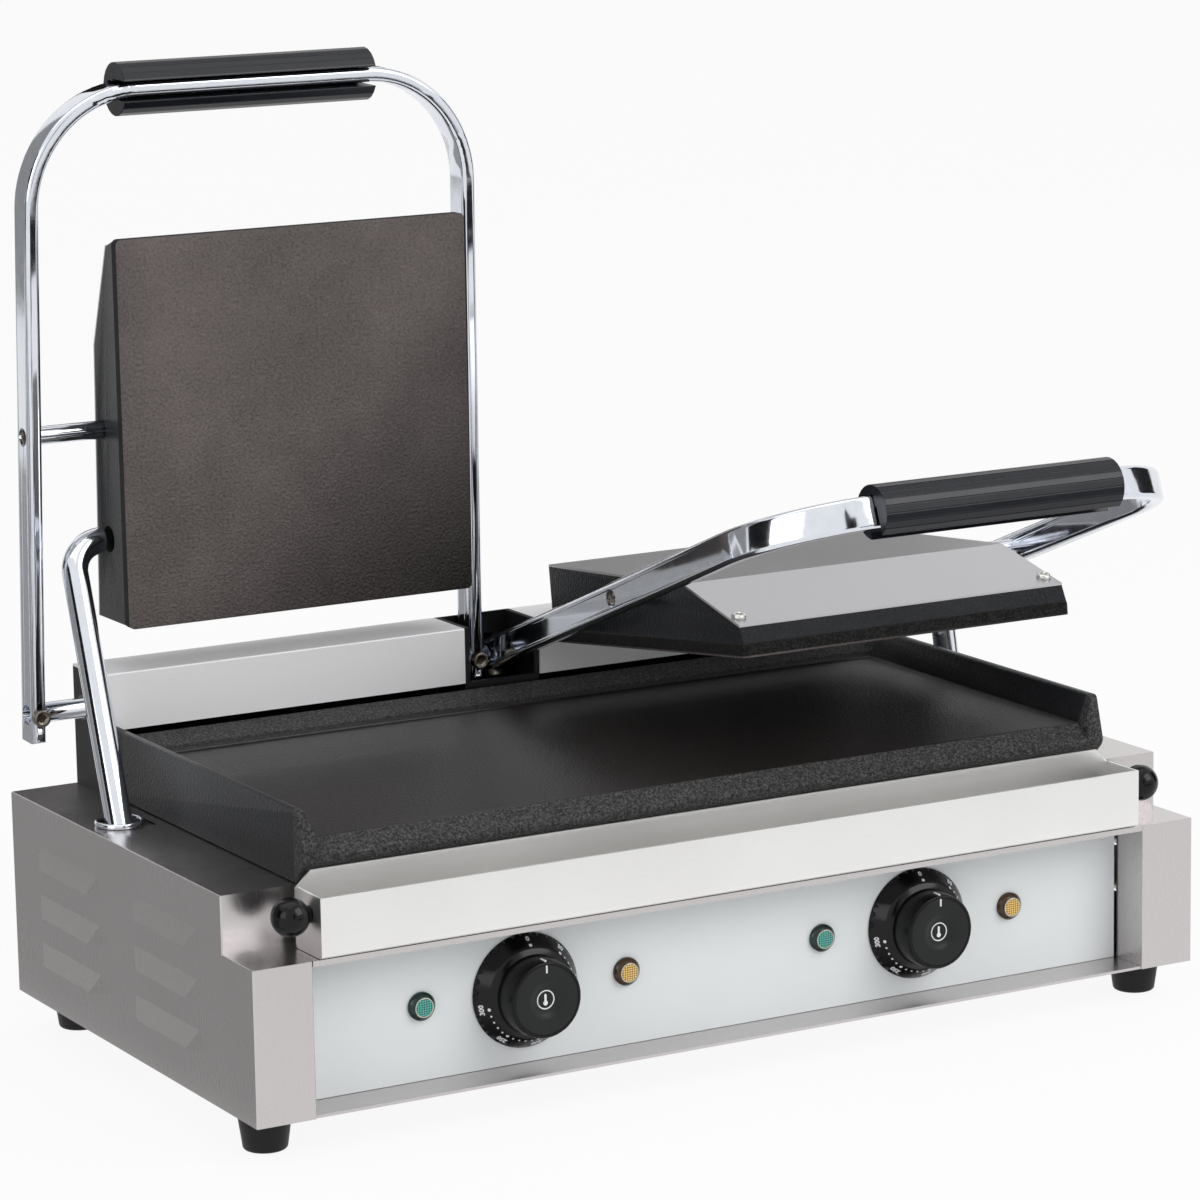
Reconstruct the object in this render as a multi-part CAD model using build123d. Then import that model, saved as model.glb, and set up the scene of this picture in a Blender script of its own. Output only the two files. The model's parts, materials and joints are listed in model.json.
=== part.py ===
from build123d import *
from math import asin, atan2, cos, degrees, hypot, radians, sin, sqrt
import os

# Double contact grill with two hinged upper plates, in millimetres.
# While it is built, x is 0 at the middle, y is 0 at the front of the housing's side boxes and grows
# towards the back, and z is 0 on the table. The last lines move the origin to the middle of the
# object's own box, on the table.

# Housing sizes
body_width = 570.0
body_depth = 301.0
foot_height = 20.0
ledge_height = 101.1
deck_height = 131.5
step_depth = 35.2
pod_face_width = 33.1
side_sheet = 1.2
pan_sheet = 1.5
panel_sheet = 1.5
rear_sheet = 1.2
bend_radius = 0.9
panel_setback = 24.5
flange_width = 12.0
deck_flange_overlap = 9.0

# Louvres pressed out of the side sheets
louvre_length = 78.0
louvre_height = 11.0
louvre_depth = 3.6
louvre_end_taper = 9.0
louvre_pitch = 26.6
louvre_rows = 3
louvre_lowest = 44.1
louvre_front_starts = (65.0, 187.0)

# Feet and their screws
foot_top_diameter = 28.4
foot_bottom_diameter = 22.6
front_foot_inset = 17.8
rear_foot_inset = 27.0
foot_front_y = 29.0
foot_rear_inset = 19.0
foot_screw_diameter = 4.0
foot_screw_head = 8.0

# Lower cooking plate, a grey iron casting
casting_half_width = 243.3
casting_front = 24.5
casting_rear = 262.0
casting_wall_top = 170.0
cooking_height = 154.7
cooking_half_width = 233.4
cooking_front = 35.0
cooking_rear = 244.5
rear_wall_step = 3.8
rear_wall_top = 163.8
wall_top_width = 4.5
cooking_thickness = 14.0
casting_skirt = 8.0
apron_edge_height = 145.8
apron_edge_band = 3.3
casting_foot_front = 33.0
casting_foot_height = 135.5
wall_front_lean = 6.5
wall_end_round = 3.0

# Heating elements
element_diameter = 8.0
element_bend = 18.0
clamp_sheet = 2.0
clamp_width = 14.0
shield_height = 116.5

# Drip tray with two ball knobs
tray_half_length = 247.6
tray_front = -1.8
tray_back = 27.3
tray_front_height = 31.4
tray_back_height = 39.0
tray_chamfer = 8.5
tray_sheet = 1.2
tray_knob_diameter = 20.0
tray_knob_neck = 9.0
tray_knob_gap = 0.4
tray_stud_diameter = 5.0
tray_knob_height = 21.0

# Rear box that carries both hinges
rear_box_half_width = 246.0
rear_box_front = 264.0
rear_box_top = 198.0
rear_box_sheet = 1.5
cover_sheet = 1.2
cover_front_drop = 31.5
hinge_gap_half = 24.0
bracket_sheet = 3.0
pocket_sheet = 1.5
pocket_half = 12.5

# Hinge, arms and lid plates
hinge_y = 290.0
hinge_z = 175.5
shaft_diameter = 11.0
bush_outer = 14.0
bush_length = 8.0
arm_reach = 339.0
arm_tail = 15.0
arm_depth = 17.6
arm_thickness = 8.0
arm_outer_x = 278.6
arm_inner_x = 2.8
arm_bend = 66.0
arm_splay = 4.4
arm_edge = 2.6
pivot_reach = 152.4
pivot_diameter = 10.0
pivot_recess = 2.5
set_screw_diameter = 4.0
set_screw_head = 9.5
left_arm_angle = 88.0
left_plate_angle = 90.0
right_arm_angle = 21.3
right_plate_angle = 7.3

# Upper cooking plates
plate_inner_x = 23.5
plate_width = 208.0
plate_depth = 210.0
plate_height = 43.6
plate_nose = 16.0
plate_nose_back = 4.5
plate_kink = 37.4
plate_slope = 60.0
plate_band = 6.6
plate_draft = 1.0
plate_wall = 7.0
plate_floor = 12.0
plate_front_wall = 22.0
pivot_height = 30.1
boss_diameter = 22.0
boss_length = 8.0
lid_sheet = 1.2
cover_screw_diameter = 4.0
cover_screw_head = 8.0

# Conduit tubes between the upper plates and the housing
conduit_diameter = 14.3
conduit_wall = 1.0
conduit_bend = 20.0
conduit_seat_back = 59.5
conduit_seat_drop = 3.8
conduit_out = 253.5
conduit_spread = 0.0795
collar_y = 199.0
collar_outer = 26.4
collar_bore = 21.6
collar_thickness = 3.0
conduit_engagement = 4.0
pan_hole_room = 15.0

# Handle grips
grip_diameter = 29.0
grip_length = 149.0
grip_flutes = 14
grip_flute_depth = 1.1
grip_slot_room = 1.3
left_grip_offset = -3.7
right_grip_offset = 2.8

# Control panel fittings
dial_x = 120.0
dial_z = 60.4
dial_diameter = 60.6
dial_face_diameter = 47.0
dial_height = 9.5
knob_diameter = 42.0
knob_face_diameter = 37.0
knob_length = 14.5
knob_dish = 2.5
knob_shaft_diameter = 6.0
thermostat_size = 44.0
thermostat_depth = 30.0
lamp_outer_x = 180.0
lamp_inner_x = 60.0
lamp_z = 61.1
lamp_diameter = 15.0
lamp_hole = 12.0
lamp_length = 26.0

# Rear gland and terminal block
gland_inset = 95.0
gland_z = 58.5
gland_diameter = 18.0
gland_flange = 26.0
gland_bore = 9.0

# Clearances
running_clearance = 0.05
seat_clearance = 0.2
knob_clearance = 0.3
tray_clearance = 0.3
closed_gap = 0.3


def block(x0, x1, y0, y1, z0, z1):
    """Box between two opposite corners."""
    return Pos((x0 + x1) / 2, (y0 + y1) / 2, (z0 + z1) / 2) * Box(x1 - x0, y1 - y0, z1 - z0)


def rod_x(x0, x1, y, z, diameter):
    """Cylinder along x."""
    return Pos((x0 + x1) / 2, y, z) * Rot(0, 90, 0) * Cylinder(diameter / 2, abs(x1 - x0))


def rod_y(x, y0, y1, z, diameter):
    """Cylinder along y."""
    return Pos(x, (y0 + y1) / 2, z) * Rot(90, 0, 0) * Cylinder(diameter / 2, abs(y1 - y0))


def rod_z(x, y, z0, z1, diameter):
    """Cylinder along z."""
    return Pos(x, y, (z0 + z1) / 2) * Cylinder(diameter / 2, abs(z1 - z0))


def prism_x(points, x0, x1):
    """Outline given as (y, z) points, drawn out along x."""
    plane = Plane(origin=(x0, 0, 0), x_dir=(0, 1, 0), z_dir=(1, 0, 0))
    return extrude(plane * make_face(Polyline(*points, close=True)), amount=x1 - x0, dir=(1, 0, 0))


def prism_y(points, y0, y1):
    """Outline given as (x, z) points, drawn out along y."""
    plane = Plane(origin=(0, y0, 0), x_dir=(1, 0, 0), z_dir=(0, -1, 0))
    return extrude(plane * make_face(Polyline(*points, close=True)), amount=y1 - y0, dir=(0, 1, 0))


def prism_z(points, z0, z1):
    """Outline given as (x, y) points, drawn out along z."""
    face = Pos(0, 0, z0) * make_face(Polyline(*points, close=True))
    return extrude(face, amount=z1 - z0, dir=(0, 0, 1))


def turned_y(points, x, z):
    """Outline of (radius, y) points turned about the axis along y through x, z."""
    face = make_face(Polyline(*points, close=True))
    return Pos(x, 0, z) * revolve(face, axis=Axis.Y)


def tube_along(path, outer, bore=0.0):
    """Round tube or rod swept along a path."""
    start = Plane(origin=path @ 0, z_dir=path % 0)
    solid = sweep(start * Circle(outer / 2), path=path)
    if bore:
        solid -= sweep(start * Circle(bore / 2), path=path)
    return solid


def as_group(solids):
    """Several separate solids as one group."""
    return Compound([piece for solid in solids for piece in solid.solids()])


def mirrored(shape):
    """The same shape on the other side of the middle plane."""
    return mirror(shape, about=Plane.YZ)


# Values worked out from the driving sizes
half_width = body_width / 2
gland_x = gland_inset - half_width
closed_pivot_z = cooking_height + pivot_height + closed_gap
closed_arm_angle = degrees(asin((closed_pivot_z - hinge_z) / pivot_reach))
plate_outer_x = plate_inner_x + plate_width
plate_mid_x = plate_inner_x + plate_width / 2
arm_mid_x = (arm_outer_x + arm_inner_x) / 2
pod_inner_x = half_width - pod_face_width
deck_hole_half = casting_half_width - deck_flange_overlap
pan_top = foot_height + pan_sheet


def pivot_point(arm_angle):
    """Height and depth of the plate pivot when the arm stands at an angle."""
    angle = radians(arm_angle)
    return hinge_y - pivot_reach * cos(angle), hinge_z + pivot_reach * sin(angle)


def conduit_seat(arm_angle, plate_angle):
    """Where the conduit enters the plate's cheek, as y and z."""
    y, z = pivot_point(arm_angle)
    angle = radians(plate_angle)
    return (
        y + conduit_seat_back * cos(angle) - conduit_seat_drop * sin(angle),
        z - conduit_seat_back * sin(angle) - conduit_seat_drop * cos(angle),
    )


def seat_distance(arm_angle, plate_angle):
    """Distance from the conduit's seat to its collar, seen from the side."""
    y, z = conduit_seat(arm_angle, plate_angle)
    return hypot(y - collar_y, z - deck_height)


open_distance = seat_distance(left_arm_angle, left_plate_angle)
closed_distance = seat_distance(closed_arm_angle, 0.0)
conduit_length = open_distance + conduit_engagement


def collar_x(distance):
    """Where the tube crosses the housing's top, across the object."""
    return conduit_out + conduit_spread * distance


def louvre_wedge(y0, z0):
    """Outer form of one pressed louvre on the left side sheet, open below."""
    wall = -half_width
    section = [(wall, z0), (wall - louvre_depth, z0), (wall, z0 + louvre_height)]
    wedge = prism_y(section, y0, y0 + louvre_length)
    y1 = y0 + louvre_length
    plan = [
        (wall + 1, y0 - louvre_end_taper / louvre_depth),
        (wall - louvre_depth - 1, y0 + louvre_end_taper * (louvre_depth + 1) / louvre_depth),
        (wall - louvre_depth - 1, y1 - louvre_end_taper * (louvre_depth + 1) / louvre_depth),
        (wall + 1, y1 + louvre_end_taper / louvre_depth),
    ]
    return wedge & prism_z(plan, z0 - 1, z0 + louvre_height + 1)


def side_cover_block(inset, x_far):
    """Solid form of the left housing side, with its step, shrunk inwards by an inset."""
    outline = [
        (inset, foot_height),
        (inset, ledge_height - inset),
        (step_depth + inset, ledge_height - inset),
        (step_depth + inset, deck_height - inset),
        (body_depth - inset, deck_height - inset),
        (body_depth - inset, foot_height),
    ]
    solid = prism_x(outline, -half_width + inset, x_far)
    return solid - block(-pod_inner_x - inset, x_far + 1, -1, step_depth + inset,
                         foot_height - 1, ledge_height)


def left_side_cover():
    """Side sheet with its folded front box, step, top flange and louvres."""
    t = side_sheet
    x0 = -half_width
    outer = side_cover_block(0.0, -deck_hole_half)
    corners = [
        edge
        for edge in outer.edges().filter_by(Axis.Z)
        if abs(edge.center().X - x0) < 0.01 and edge.center().Y < body_depth - 1
        or abs(edge.center().X + pod_inner_x) < 0.01 and edge.center().Y < 1
    ]
    ridges = [edge for edge in outer.edges().filter_by(Axis.Y) if abs(edge.center().X - x0) < 0.01]
    ridges = [edge for edge in ridges if edge.center().Z > foot_height + 1]
    outer = fillet(corners + ridges, bend_radius)
    cover = outer - side_cover_block(t, -deck_hole_half + 1)
    cover -= block(x0, -deck_hole_half + 1, -1, body_depth + 1, foot_height - 1, foot_height)
    cover -= block(x0 + flange_width, -deck_hole_half + 1, body_depth - 2 * t, body_depth + 1,
                   foot_height - 1, deck_height - t)
    cover -= block(-casting_half_width, -deck_hole_half + 1, step_depth - 1, step_depth + t,
                   foot_height, deck_height - t)
    cover -= block(-pod_inner_x - t, -deck_hole_half + 1, panel_setback, step_depth + t + 0.1,
                   foot_height - 1, ledge_height - t)
    for y0 in louvre_front_starts:
        for row in range(louvre_rows):
            z0 = louvre_lowest + row * louvre_pitch
            wedge = louvre_wedge(y0, z0)
            cover += wedge
            cover -= Pos(t + 0.1, 0, 0) * wedge
    slot_half = conduit_diameter / 2 + 1.0
    slot_from = collar_x(closed_distance) - slot_half
    slot_to = collar_x(open_distance) + slot_half
    cover -= block(
        -slot_to, -slot_from, collar_y - collar_bore / 2 + 0.5, collar_y + collar_bore / 2 - 0.5,
        deck_height - 2 * t, deck_height + t,
    )
    return cover


def foot_centres():
    """Places of the four feet."""
    rows = (
        (half_width - front_foot_inset, foot_front_y),
        (half_width - rear_foot_inset, body_depth - foot_rear_inset),
    )
    return [(side * x, y) for side in (-1, 1) for x, y in rows]


def base_pan():
    """Bottom sheet with raised flanges, vents and a shelf that runs out under the panel."""
    x = half_width - side_sheet - seat_clearance
    rear = body_depth - side_sheet - rear_sheet - 2 * seat_clearance
    z0 = foot_height
    pan = block(-x, x, panel_setback, rear, z0, pan_top)
    pan += block(-pod_inner_x + seat_clearance, pod_inner_x - seat_clearance, 1.0, panel_setback, z0, pan_top)
    for side in (-1, 1):
        pan += block(
            min(side * x, side * (x - pan_sheet)), max(side * x, side * (x - pan_sheet)),
            panel_setback + 2, rear, z0, z0 + flange_width,
        )
        inner = pod_inner_x + side_sheet + seat_clearance
        pan += block(min(side * inner, side * x), max(side * inner, side * x),
                     side_sheet + seat_clearance, panel_setback, z0, pan_top)
    pan += block(-x + pan_sheet, x - pan_sheet, rear - pan_sheet, rear, z0, z0 + flange_width)
    for cx, cy in foot_centres():
        pan -= rod_z(cx, cy, z0 - 1, pan_top + 1, foot_screw_diameter)
    vent_pitch = 16.0
    vent_length = 60.0
    for cy in (110.0, 200.0):
        for column in range(-8, 9):
            cx = column * vent_pitch
            pan -= block(cx - 2.5, cx + 2.5, cy - vent_length / 2, cy + vent_length / 2, z0 - 1, pan_top + 1)
    end_y, end_x = conduit_end_when_closed()
    for side in (-1, 1):
        pan -= rod_z(side * end_x, end_y, z0 - 1, pan_top + 1, conduit_diameter + pan_hole_room)
    return pan


def conduit_end_when_closed():
    """Depth and side distance of the tube's lower end when the lid is down."""
    y, z = conduit_seat(closed_arm_angle, 0.0)
    reach = conduit_length / closed_distance
    return y + (collar_y - y) * reach, collar_x(conduit_length)


def front_ledge():
    """Ledge that the drip tray sits on, with its front lip, riser and top flange."""
    t = side_sheet
    x = pod_inner_x - seat_clearance
    riser_x = casting_half_width - seat_clearance
    ledge = block(-x, x, 0, step_depth, ledge_height - t, ledge_height)
    ledge += block(-x, x, 0, t, ledge_height - 3.0, ledge_height)
    top = deck_height - t - seat_clearance
    ledge += block(-riser_x, riser_x, step_depth - t, step_depth, ledge_height - t, top)
    rim_x = deck_hole_half - seat_clearance
    ledge += block(-rim_x, rim_x, step_depth - t, step_depth + deck_flange_overlap, top - t, top)
    return ledge


def control_panel():
    """Pale front panel with holes for both dials and four lamps."""
    x = pod_inner_x - side_sheet - seat_clearance
    z0 = pan_top + seat_clearance
    z1 = ledge_height - side_sheet - seat_clearance
    y0 = panel_setback + seat_clearance
    y1 = y0 + panel_sheet
    panel = block(-x, x, y0, y1, z0, z1)
    panel += block(-x, x, y0, y0 + flange_width, z0, z0 + panel_sheet)
    panel += block(-x, x, y0, y0 + flange_width, z1 - panel_sheet, z1)
    for side in (-1, 1):
        panel -= rod_y(side * dial_x, y0 - 1, y1 + 1, dial_z, knob_shaft_diameter + 4)
        for lamp_x in (lamp_outer_x, lamp_inner_x):
            panel -= rod_y(side * lamp_x, y0 - 1, y1 + 1, lamp_z, lamp_hole)
    return panel


panel_front = panel_setback + seat_clearance
panel_back = panel_front + panel_sheet


def rear_panel():
    """Back sheet with the cable gland's hole and vent slots."""
    x = half_width - side_sheet - seat_clearance
    y1 = body_depth - side_sheet
    z0 = pan_top + flange_width
    z1 = deck_height - side_sheet - seat_clearance
    panel = block(-x, x, y1 - rear_sheet, y1, foot_height, z1)
    panel -= rod_y(gland_x, y1 - 5, y1 + 5, gland_z, gland_diameter)
    for column in range(-5, 8):
        cx = column * 18.0
        panel -= block(cx - 2, cx + 2, y1 - 5, y1 + 5, z0 + 30, z0 + 70)
    return panel


def casting_front_points(z0):
    """Front of the lower casting as (y, z) points from the foot up to its apron's edge."""
    return [
        (casting_foot_front, z0),
        (casting_foot_front, casting_foot_height),
        (casting_front + 1.5, apron_edge_height - apron_edge_band),
        (casting_front, apron_edge_height),
    ]


def casting_side_wall(side, z0):
    """Raised wall at one end of the lower casting, leaning back at the front."""
    section = [
        (side * casting_half_width, z0),
        (side * casting_half_width, casting_wall_top),
        (side * (casting_half_width - wall_top_width), casting_wall_top),
        (side * cooking_half_width, cooking_height),
        (side * cooking_half_width, z0),
    ]
    front = casting_front + wall_front_lean
    outline = casting_front_points(z0)
    outline += [(front, casting_wall_top), (casting_rear, casting_wall_top), (casting_rear, z0)]
    wall = prism_y(section, casting_front - 1.0, casting_rear)
    wall &= prism_x(outline, -casting_half_width - 1, casting_half_width + 1)
    corner = [
        edge
        for edge in wall.edges().filter_by(Axis.X)
        if abs(edge.center().Y - front) < 0.01 and abs(edge.center().Z - casting_wall_top) < 0.01
    ]
    return fillet(corner, wall_end_round)


def lower_casting():
    """Lower cooking plate: slab, apron, rear wall, two side walls and a skirt below."""
    z0 = deck_height + tray_clearance
    profile = casting_front_points(z0)
    profile += [
        (cooking_front, cooking_height),
        (cooking_rear, cooking_height),
        (cooking_rear, cooking_height + rear_wall_step),
        (casting_rear, rear_wall_top),
        (casting_rear, z0),
    ]
    plate = prism_x(profile, -casting_half_width, casting_half_width)
    for side in (-1, 1):
        plate += casting_side_wall(side, z0)
    plate -= block(
        -casting_half_width + casting_skirt, casting_half_width - casting_skirt,
        casting_foot_front + casting_skirt, casting_rear - casting_skirt,
        z0 - 1, cooking_height - cooking_thickness,
    )
    return plate


def serpentine(x_mid, half_span, y0, y1, z):
    """Looped round heater lying flat, with both ends at the back."""
    step = (2 * half_span) / 3
    x0, x1, x2, x3 = [x_mid - half_span + index * step for index in range(4)]
    turn = y1 - element_bend
    plan = [(x0, y1), (x0, y0), (x1, y0), (x1, turn), (x2, turn), (x2, y0), (x3, y0), (x3, y1)]
    path = FilletPolyline(*[(x, y, z) for x, y in plan], radius=min(element_bend, 0.45 * step))
    return tube_along(path, element_diameter)


element_z = cooking_height - cooking_thickness - element_diameter / 2


def lower_element(side):
    """Heater under one half of the lower plate."""
    return serpentine(side * plate_mid_x, 72.0, 60.0, 238.0, element_z)


def element_clamps():
    """Cross straps that hold both lower heaters up against the plate."""
    z1 = element_z - element_diameter / 2
    straps = []
    for side in (-1, 1):
        for y in (100.0, 190.0):
            straps.append(block(
                side * plate_mid_x - 95, side * plate_mid_x + 95,
                y - clamp_width / 2, y + clamp_width / 2, z1 - clamp_sheet, z1,
            ))
    return as_group(straps)


def heat_shield():
    """Bright sheet below the heaters, folded down to the pan at both ends."""
    x = casting_half_width - 20
    t = side_sheet
    shield = block(-x, x, 60, 240, shield_height - t, shield_height)
    for side in (-1, 1):
        shield += block(min(side * x, side * (x - t)), max(side * x, side * (x - t)),
                        60, 240, pan_top, shield_height)
    return shield


def drip_tray():
    """Long folded tray with a chamfered higher back."""
    z0 = ledge_height + tray_clearance
    t = tray_sheet
    x = tray_half_length
    front_top = z0 + tray_front_height
    back_top = z0 + tray_back_height
    tray = block(-x, x, tray_front, tray_back, z0, front_top)
    tray += block(-x, x, tray_back - t, tray_back, z0, back_top)
    tray = fillet(tray.edges().filter_by(Axis.X).group_by(Axis.Z)[0], 2.5)
    tray -= block(-x + t, x - t, tray_front + t, tray_back - t, z0 + t, back_top + 1)
    for side in (-1, 1):
        corner = [
            (side * (x + 1), back_top + 1),
            (side * (x - tray_chamfer - 1), back_top + 1),
            (side * (x + 1), back_top - tray_chamfer - 1),
        ]
        tray -= prism_y(corner, tray_back - t - 1, tray_back + 1)
        tray -= rod_x(side * (x - t - 1), side * (x + 1), tray_knob_y, tray_knob_z,
                      tray_stud_diameter)
    return tray


tray_knob_y = (tray_front + tray_back) / 2 - 1.5
tray_knob_z = ledge_height + tray_knob_height


def ball_knob():
    """Right ball knob, turned in one piece with its neck, its stud and the nut inside the tray."""
    outside = tray_half_length
    inside = tray_half_length - tray_sheet
    stud = tray_stud_diameter / 2
    neck = tray_knob_neck / 2
    ball = tray_knob_diameter / 2
    centre = outside + tray_knob_gap + ball
    meeting = centre - sqrt(ball ** 2 - neck ** 2)
    shank = Polyline(
        (inside - 4.5, 0), (inside - 4.5, stud), (inside - 3.0, stud), (inside - 3.0, neck), (inside, neck),
        (inside, stud), (outside, stud), (outside, neck), (meeting, neck),
    )
    round_end = ThreePointArc((meeting, neck), (centre, ball), (centre + ball, 0))
    outline = make_face([shank, round_end, Line((centre + ball, 0), (inside - 4.5, 0))])
    return Pos(0, tray_knob_y, tray_knob_z) * revolve(outline, axis=Axis.X)


def tray_knobs():
    """Both ball knobs of the drip tray."""
    return as_group([ball_knob(), mirrored(ball_knob())])


def rear_box():
    """Black frame of the rear box: back, two sides and a bottom, cut away behind the bracket."""
    t = rear_box_sheet
    x = rear_box_half_width
    z0 = deck_height
    z1 = rear_box_top - cover_sheet
    box = block(-x, x, body_depth - t, body_depth, z0, z1)
    box += block(-x, x, rear_box_front + cover_sheet, body_depth, z0, z0 + t)
    for side in (-1, 1):
        box += block(min(side * x, side * (x - t)), max(side * x, side * (x - t)),
                     rear_box_front + cover_sheet, body_depth, z0, z1)
        box -= rod_x(side * (x - 5), side * (x + 5), hinge_y, hinge_z, bush_outer)
    box -= block(-hinge_gap_half, hinge_gap_half, body_depth - 2 * t, body_depth + 1, z0 + t, z1 + 1)
    return box


def left_rear_cover():
    """Stainless cover of the rear box, with a flat top and a front face."""
    t = cover_sheet
    cover = block(-rear_box_half_width, -hinge_gap_half, rear_box_front, body_depth,
                  rear_box_top - t, rear_box_top)
    cover += block(-rear_box_half_width, -hinge_gap_half, rear_box_front, rear_box_front + t,
                   rear_box_top - cover_front_drop, rear_box_top)
    top_edge = [
        edge
        for edge in cover.edges().filter_by(Axis.X)
        if abs(edge.center().Y - rear_box_front) < 0.01 and abs(edge.center().Z - rear_box_top) < 0.01
    ]
    return fillet(top_edge, min(bend_radius, 0.8 * t))


def hinge_bracket():
    """Black channel between the covers, with a pocket at the back for the arms' tails."""
    t = bracket_sheet
    z0 = deck_height + rear_box_sheet
    x = hinge_gap_half - seat_clearance
    y0 = rear_box_front + 1.0
    y1 = body_depth - rear_box_sheet
    bracket = block(-x, x, y0, body_depth, z0, z0 + t)
    bracket += block(-x, x, y0, y0 + t, z0, hinge_z - arm_depth / 2)
    bracket += block(-x, x, y1, body_depth, z0, rear_box_top)
    for side in (-1, 1):
        bracket += block(min(side * x, side * (x - t)), max(side * x, side * (x - t)),
                         y0, body_depth, z0, rear_box_top)
        bracket -= rod_x(side * (x - 2 * t), side * (x + t), hinge_y, hinge_z, bush_outer)
    sweep_radius = hypot(arm_tail, arm_depth / 2)
    w = pocket_sheet
    back = hinge_y + sweep_radius + 1.0
    low = hinge_z - sweep_radius - 1.0
    high = hinge_z + arm_depth / 2 + 1.5
    bracket += block(-pocket_half - w, pocket_half + w, y1, back + w, low - w, high + w)
    bracket -= block(-pocket_half, pocket_half, y1 - 1.0, back, low, high)
    return bracket


def shaft_bushes():
    """Four plain bearings: two in the box sides and two in the bracket's cheeks."""
    bushes = []
    for side in (-1, 1):
        outer = side * rear_box_half_width
        inner = side * (hinge_gap_half - seat_clearance - bracket_sheet)
        for near, far in ((outer, outer - side * bush_length), (inner, inner + side * bush_length)):
            bore = rod_x(min(near, far) - 1, max(near, far) + 1, hinge_y, hinge_z,
                         shaft_diameter + 2 * running_clearance)
            bushes.append(rod_x(near, far, hinge_y, hinge_z, bush_outer) - bore)
    return as_group(bushes)


def counter_spring(side):
    """Torsion spring that carries most of a lid's weight, wound round the shaft."""
    wire = 1.4
    mean_radius = (shaft_diameter + wire) / 2 + 0.3
    turns = 16
    pitch = 2.4
    length = turns * pitch
    path = Helix(pitch=pitch, height=length, radius=mean_radius)
    coil = sweep(Plane(origin=path @ 0, z_dir=path % 0) * Circle(wire / 2), path=path, is_frenet=True)
    start = side * (rear_box_half_width - 40) - (length if side > 0 else 0)
    return Pos(start, hinge_y, hinge_z) * Rot(0, 90, 0) * coil


def lid_frame(shape, arm_angle):
    """Moves a piece of the lid's arm from lying forward to its angle on the hinge."""
    return Pos(0, hinge_y, hinge_z) * Rot(-arm_angle, 0, 0) * shape


def plate_frame(shape, arm_angle, plate_angle):
    """Moves a piece of the upper plate from its pivot, level, to where it hangs."""
    y, z = pivot_point(arm_angle)
    return Pos(0, y, z) * Rot(-plate_angle, 0, 0) * shape


def arm_inset(reach):
    """How far an arm has come in towards the middle of its lid at a distance from the hinge."""
    return arm_splay * reach / arm_reach


def handle_outline(inset, overhang):
    """Front view of the U, shrunk by an inset and longer at the tails by an overhang."""
    tail = arm_tail + overhang
    top = arm_reach - inset
    points = [
        (-arm_outer_x + inset + arm_inset(-tail), tail),
        (-arm_outer_x + inset + arm_inset(top), -top),
        (-arm_inner_x - inset - arm_inset(top), -top),
        (-arm_inner_x - inset - arm_inset(-tail), tail),
    ]
    outline = make_face(Polyline(*points, close=True))
    return fillet(outline.vertices().group_by(Axis.Y)[0], arm_bend - inset)


def handle():
    """Flat chrome bar bent into a U, seen lying forward with the hinge at y 0 and z 0."""
    flat = handle_outline(0.0, 0.0) - handle_outline(arm_thickness, 1.0)
    bar = extrude(flat, amount=arm_depth / 2, both=True)
    bar = fillet(bar.faces().sort_by(Axis.Z)[0].edges() + bar.faces().sort_by(Axis.Z)[-1].edges(), arm_edge)
    for y, diameter in ((0, shaft_diameter), (-pivot_reach, pivot_diameter)):
        bar -= rod_x(-arm_outer_x - 1, -arm_inner_x + 1, y, 0, diameter)
    for x in arm_middles():
        bar -= rod_z(x, 0, -arm_depth / 2 - 1, 0, set_screw_diameter)
    return bar


def arm_middles():
    """Middle of the outer and inner arms across the object at the hinge, on the left lid."""
    return (-arm_outer_x + arm_thickness / 2, -arm_inner_x - arm_thickness / 2)


def lid_shaft():
    """Hinge shaft that both arms are clamped to."""
    return rod_x(-arm_outer_x + pivot_recess, -arm_inner_x - pivot_recess / 2, 0, 0, shaft_diameter)


def pivot_ends():
    """Outer end of each pivot rod across the object, and the way in from it."""
    inset = arm_inset(pivot_reach) + pivot_recess
    return ((-arm_outer_x + inset, 1), (-arm_inner_x - inset, -1))


def pivot_rods():
    """Two short rods that carry the plate between the arms."""
    seat = plate_wall + boss_length - 1.0
    rods = []
    for (face, way), inner in zip(pivot_ends(), (-plate_outer_x + seat, -plate_inner_x - seat)):
        rod = rod_x(face, inner, -pivot_reach, 0, pivot_diameter)
        rods.append(rod - rod_x(face, face + way * 10, -pivot_reach, 0, set_screw_diameter))
    return as_group(rods)


def handle_screws():
    """Two socket screws that clamp the shaft and two slotted screws in the pivot rods' ends."""
    screws = []
    for x in arm_middles():
        z = -arm_depth / 2
        screw = rod_z(x, 0, z - 4.5, z, set_screw_head)
        screw += rod_z(x, 0, z, -shaft_diameter / 2, set_screw_diameter)
        screw = fillet(screw.edges().filter_by(GeomType.CIRCLE).group_by(Axis.Z)[0], 0.8)
        socket = Pos(x, 0, z - 4.5) * extrude(RegularPolygon(2.6, 6), amount=2.5)
        screws.append(screw - socket)
    for face, way in pivot_ends():
        screw = rod_x(face - way * 1.6, face, -pivot_reach, 0, 8.0)
        screw += rod_x(face, face + way * 9.5, -pivot_reach, 0, set_screw_diameter)
        slot = block(min(face - way * 0.7, face - way * 2), max(face - way * 0.7, face - way * 2),
                     -pivot_reach - 5, -pivot_reach + 5, -0.6, 0.6)
        screws.append(screw - slot)
    return as_group(screws)


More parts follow.
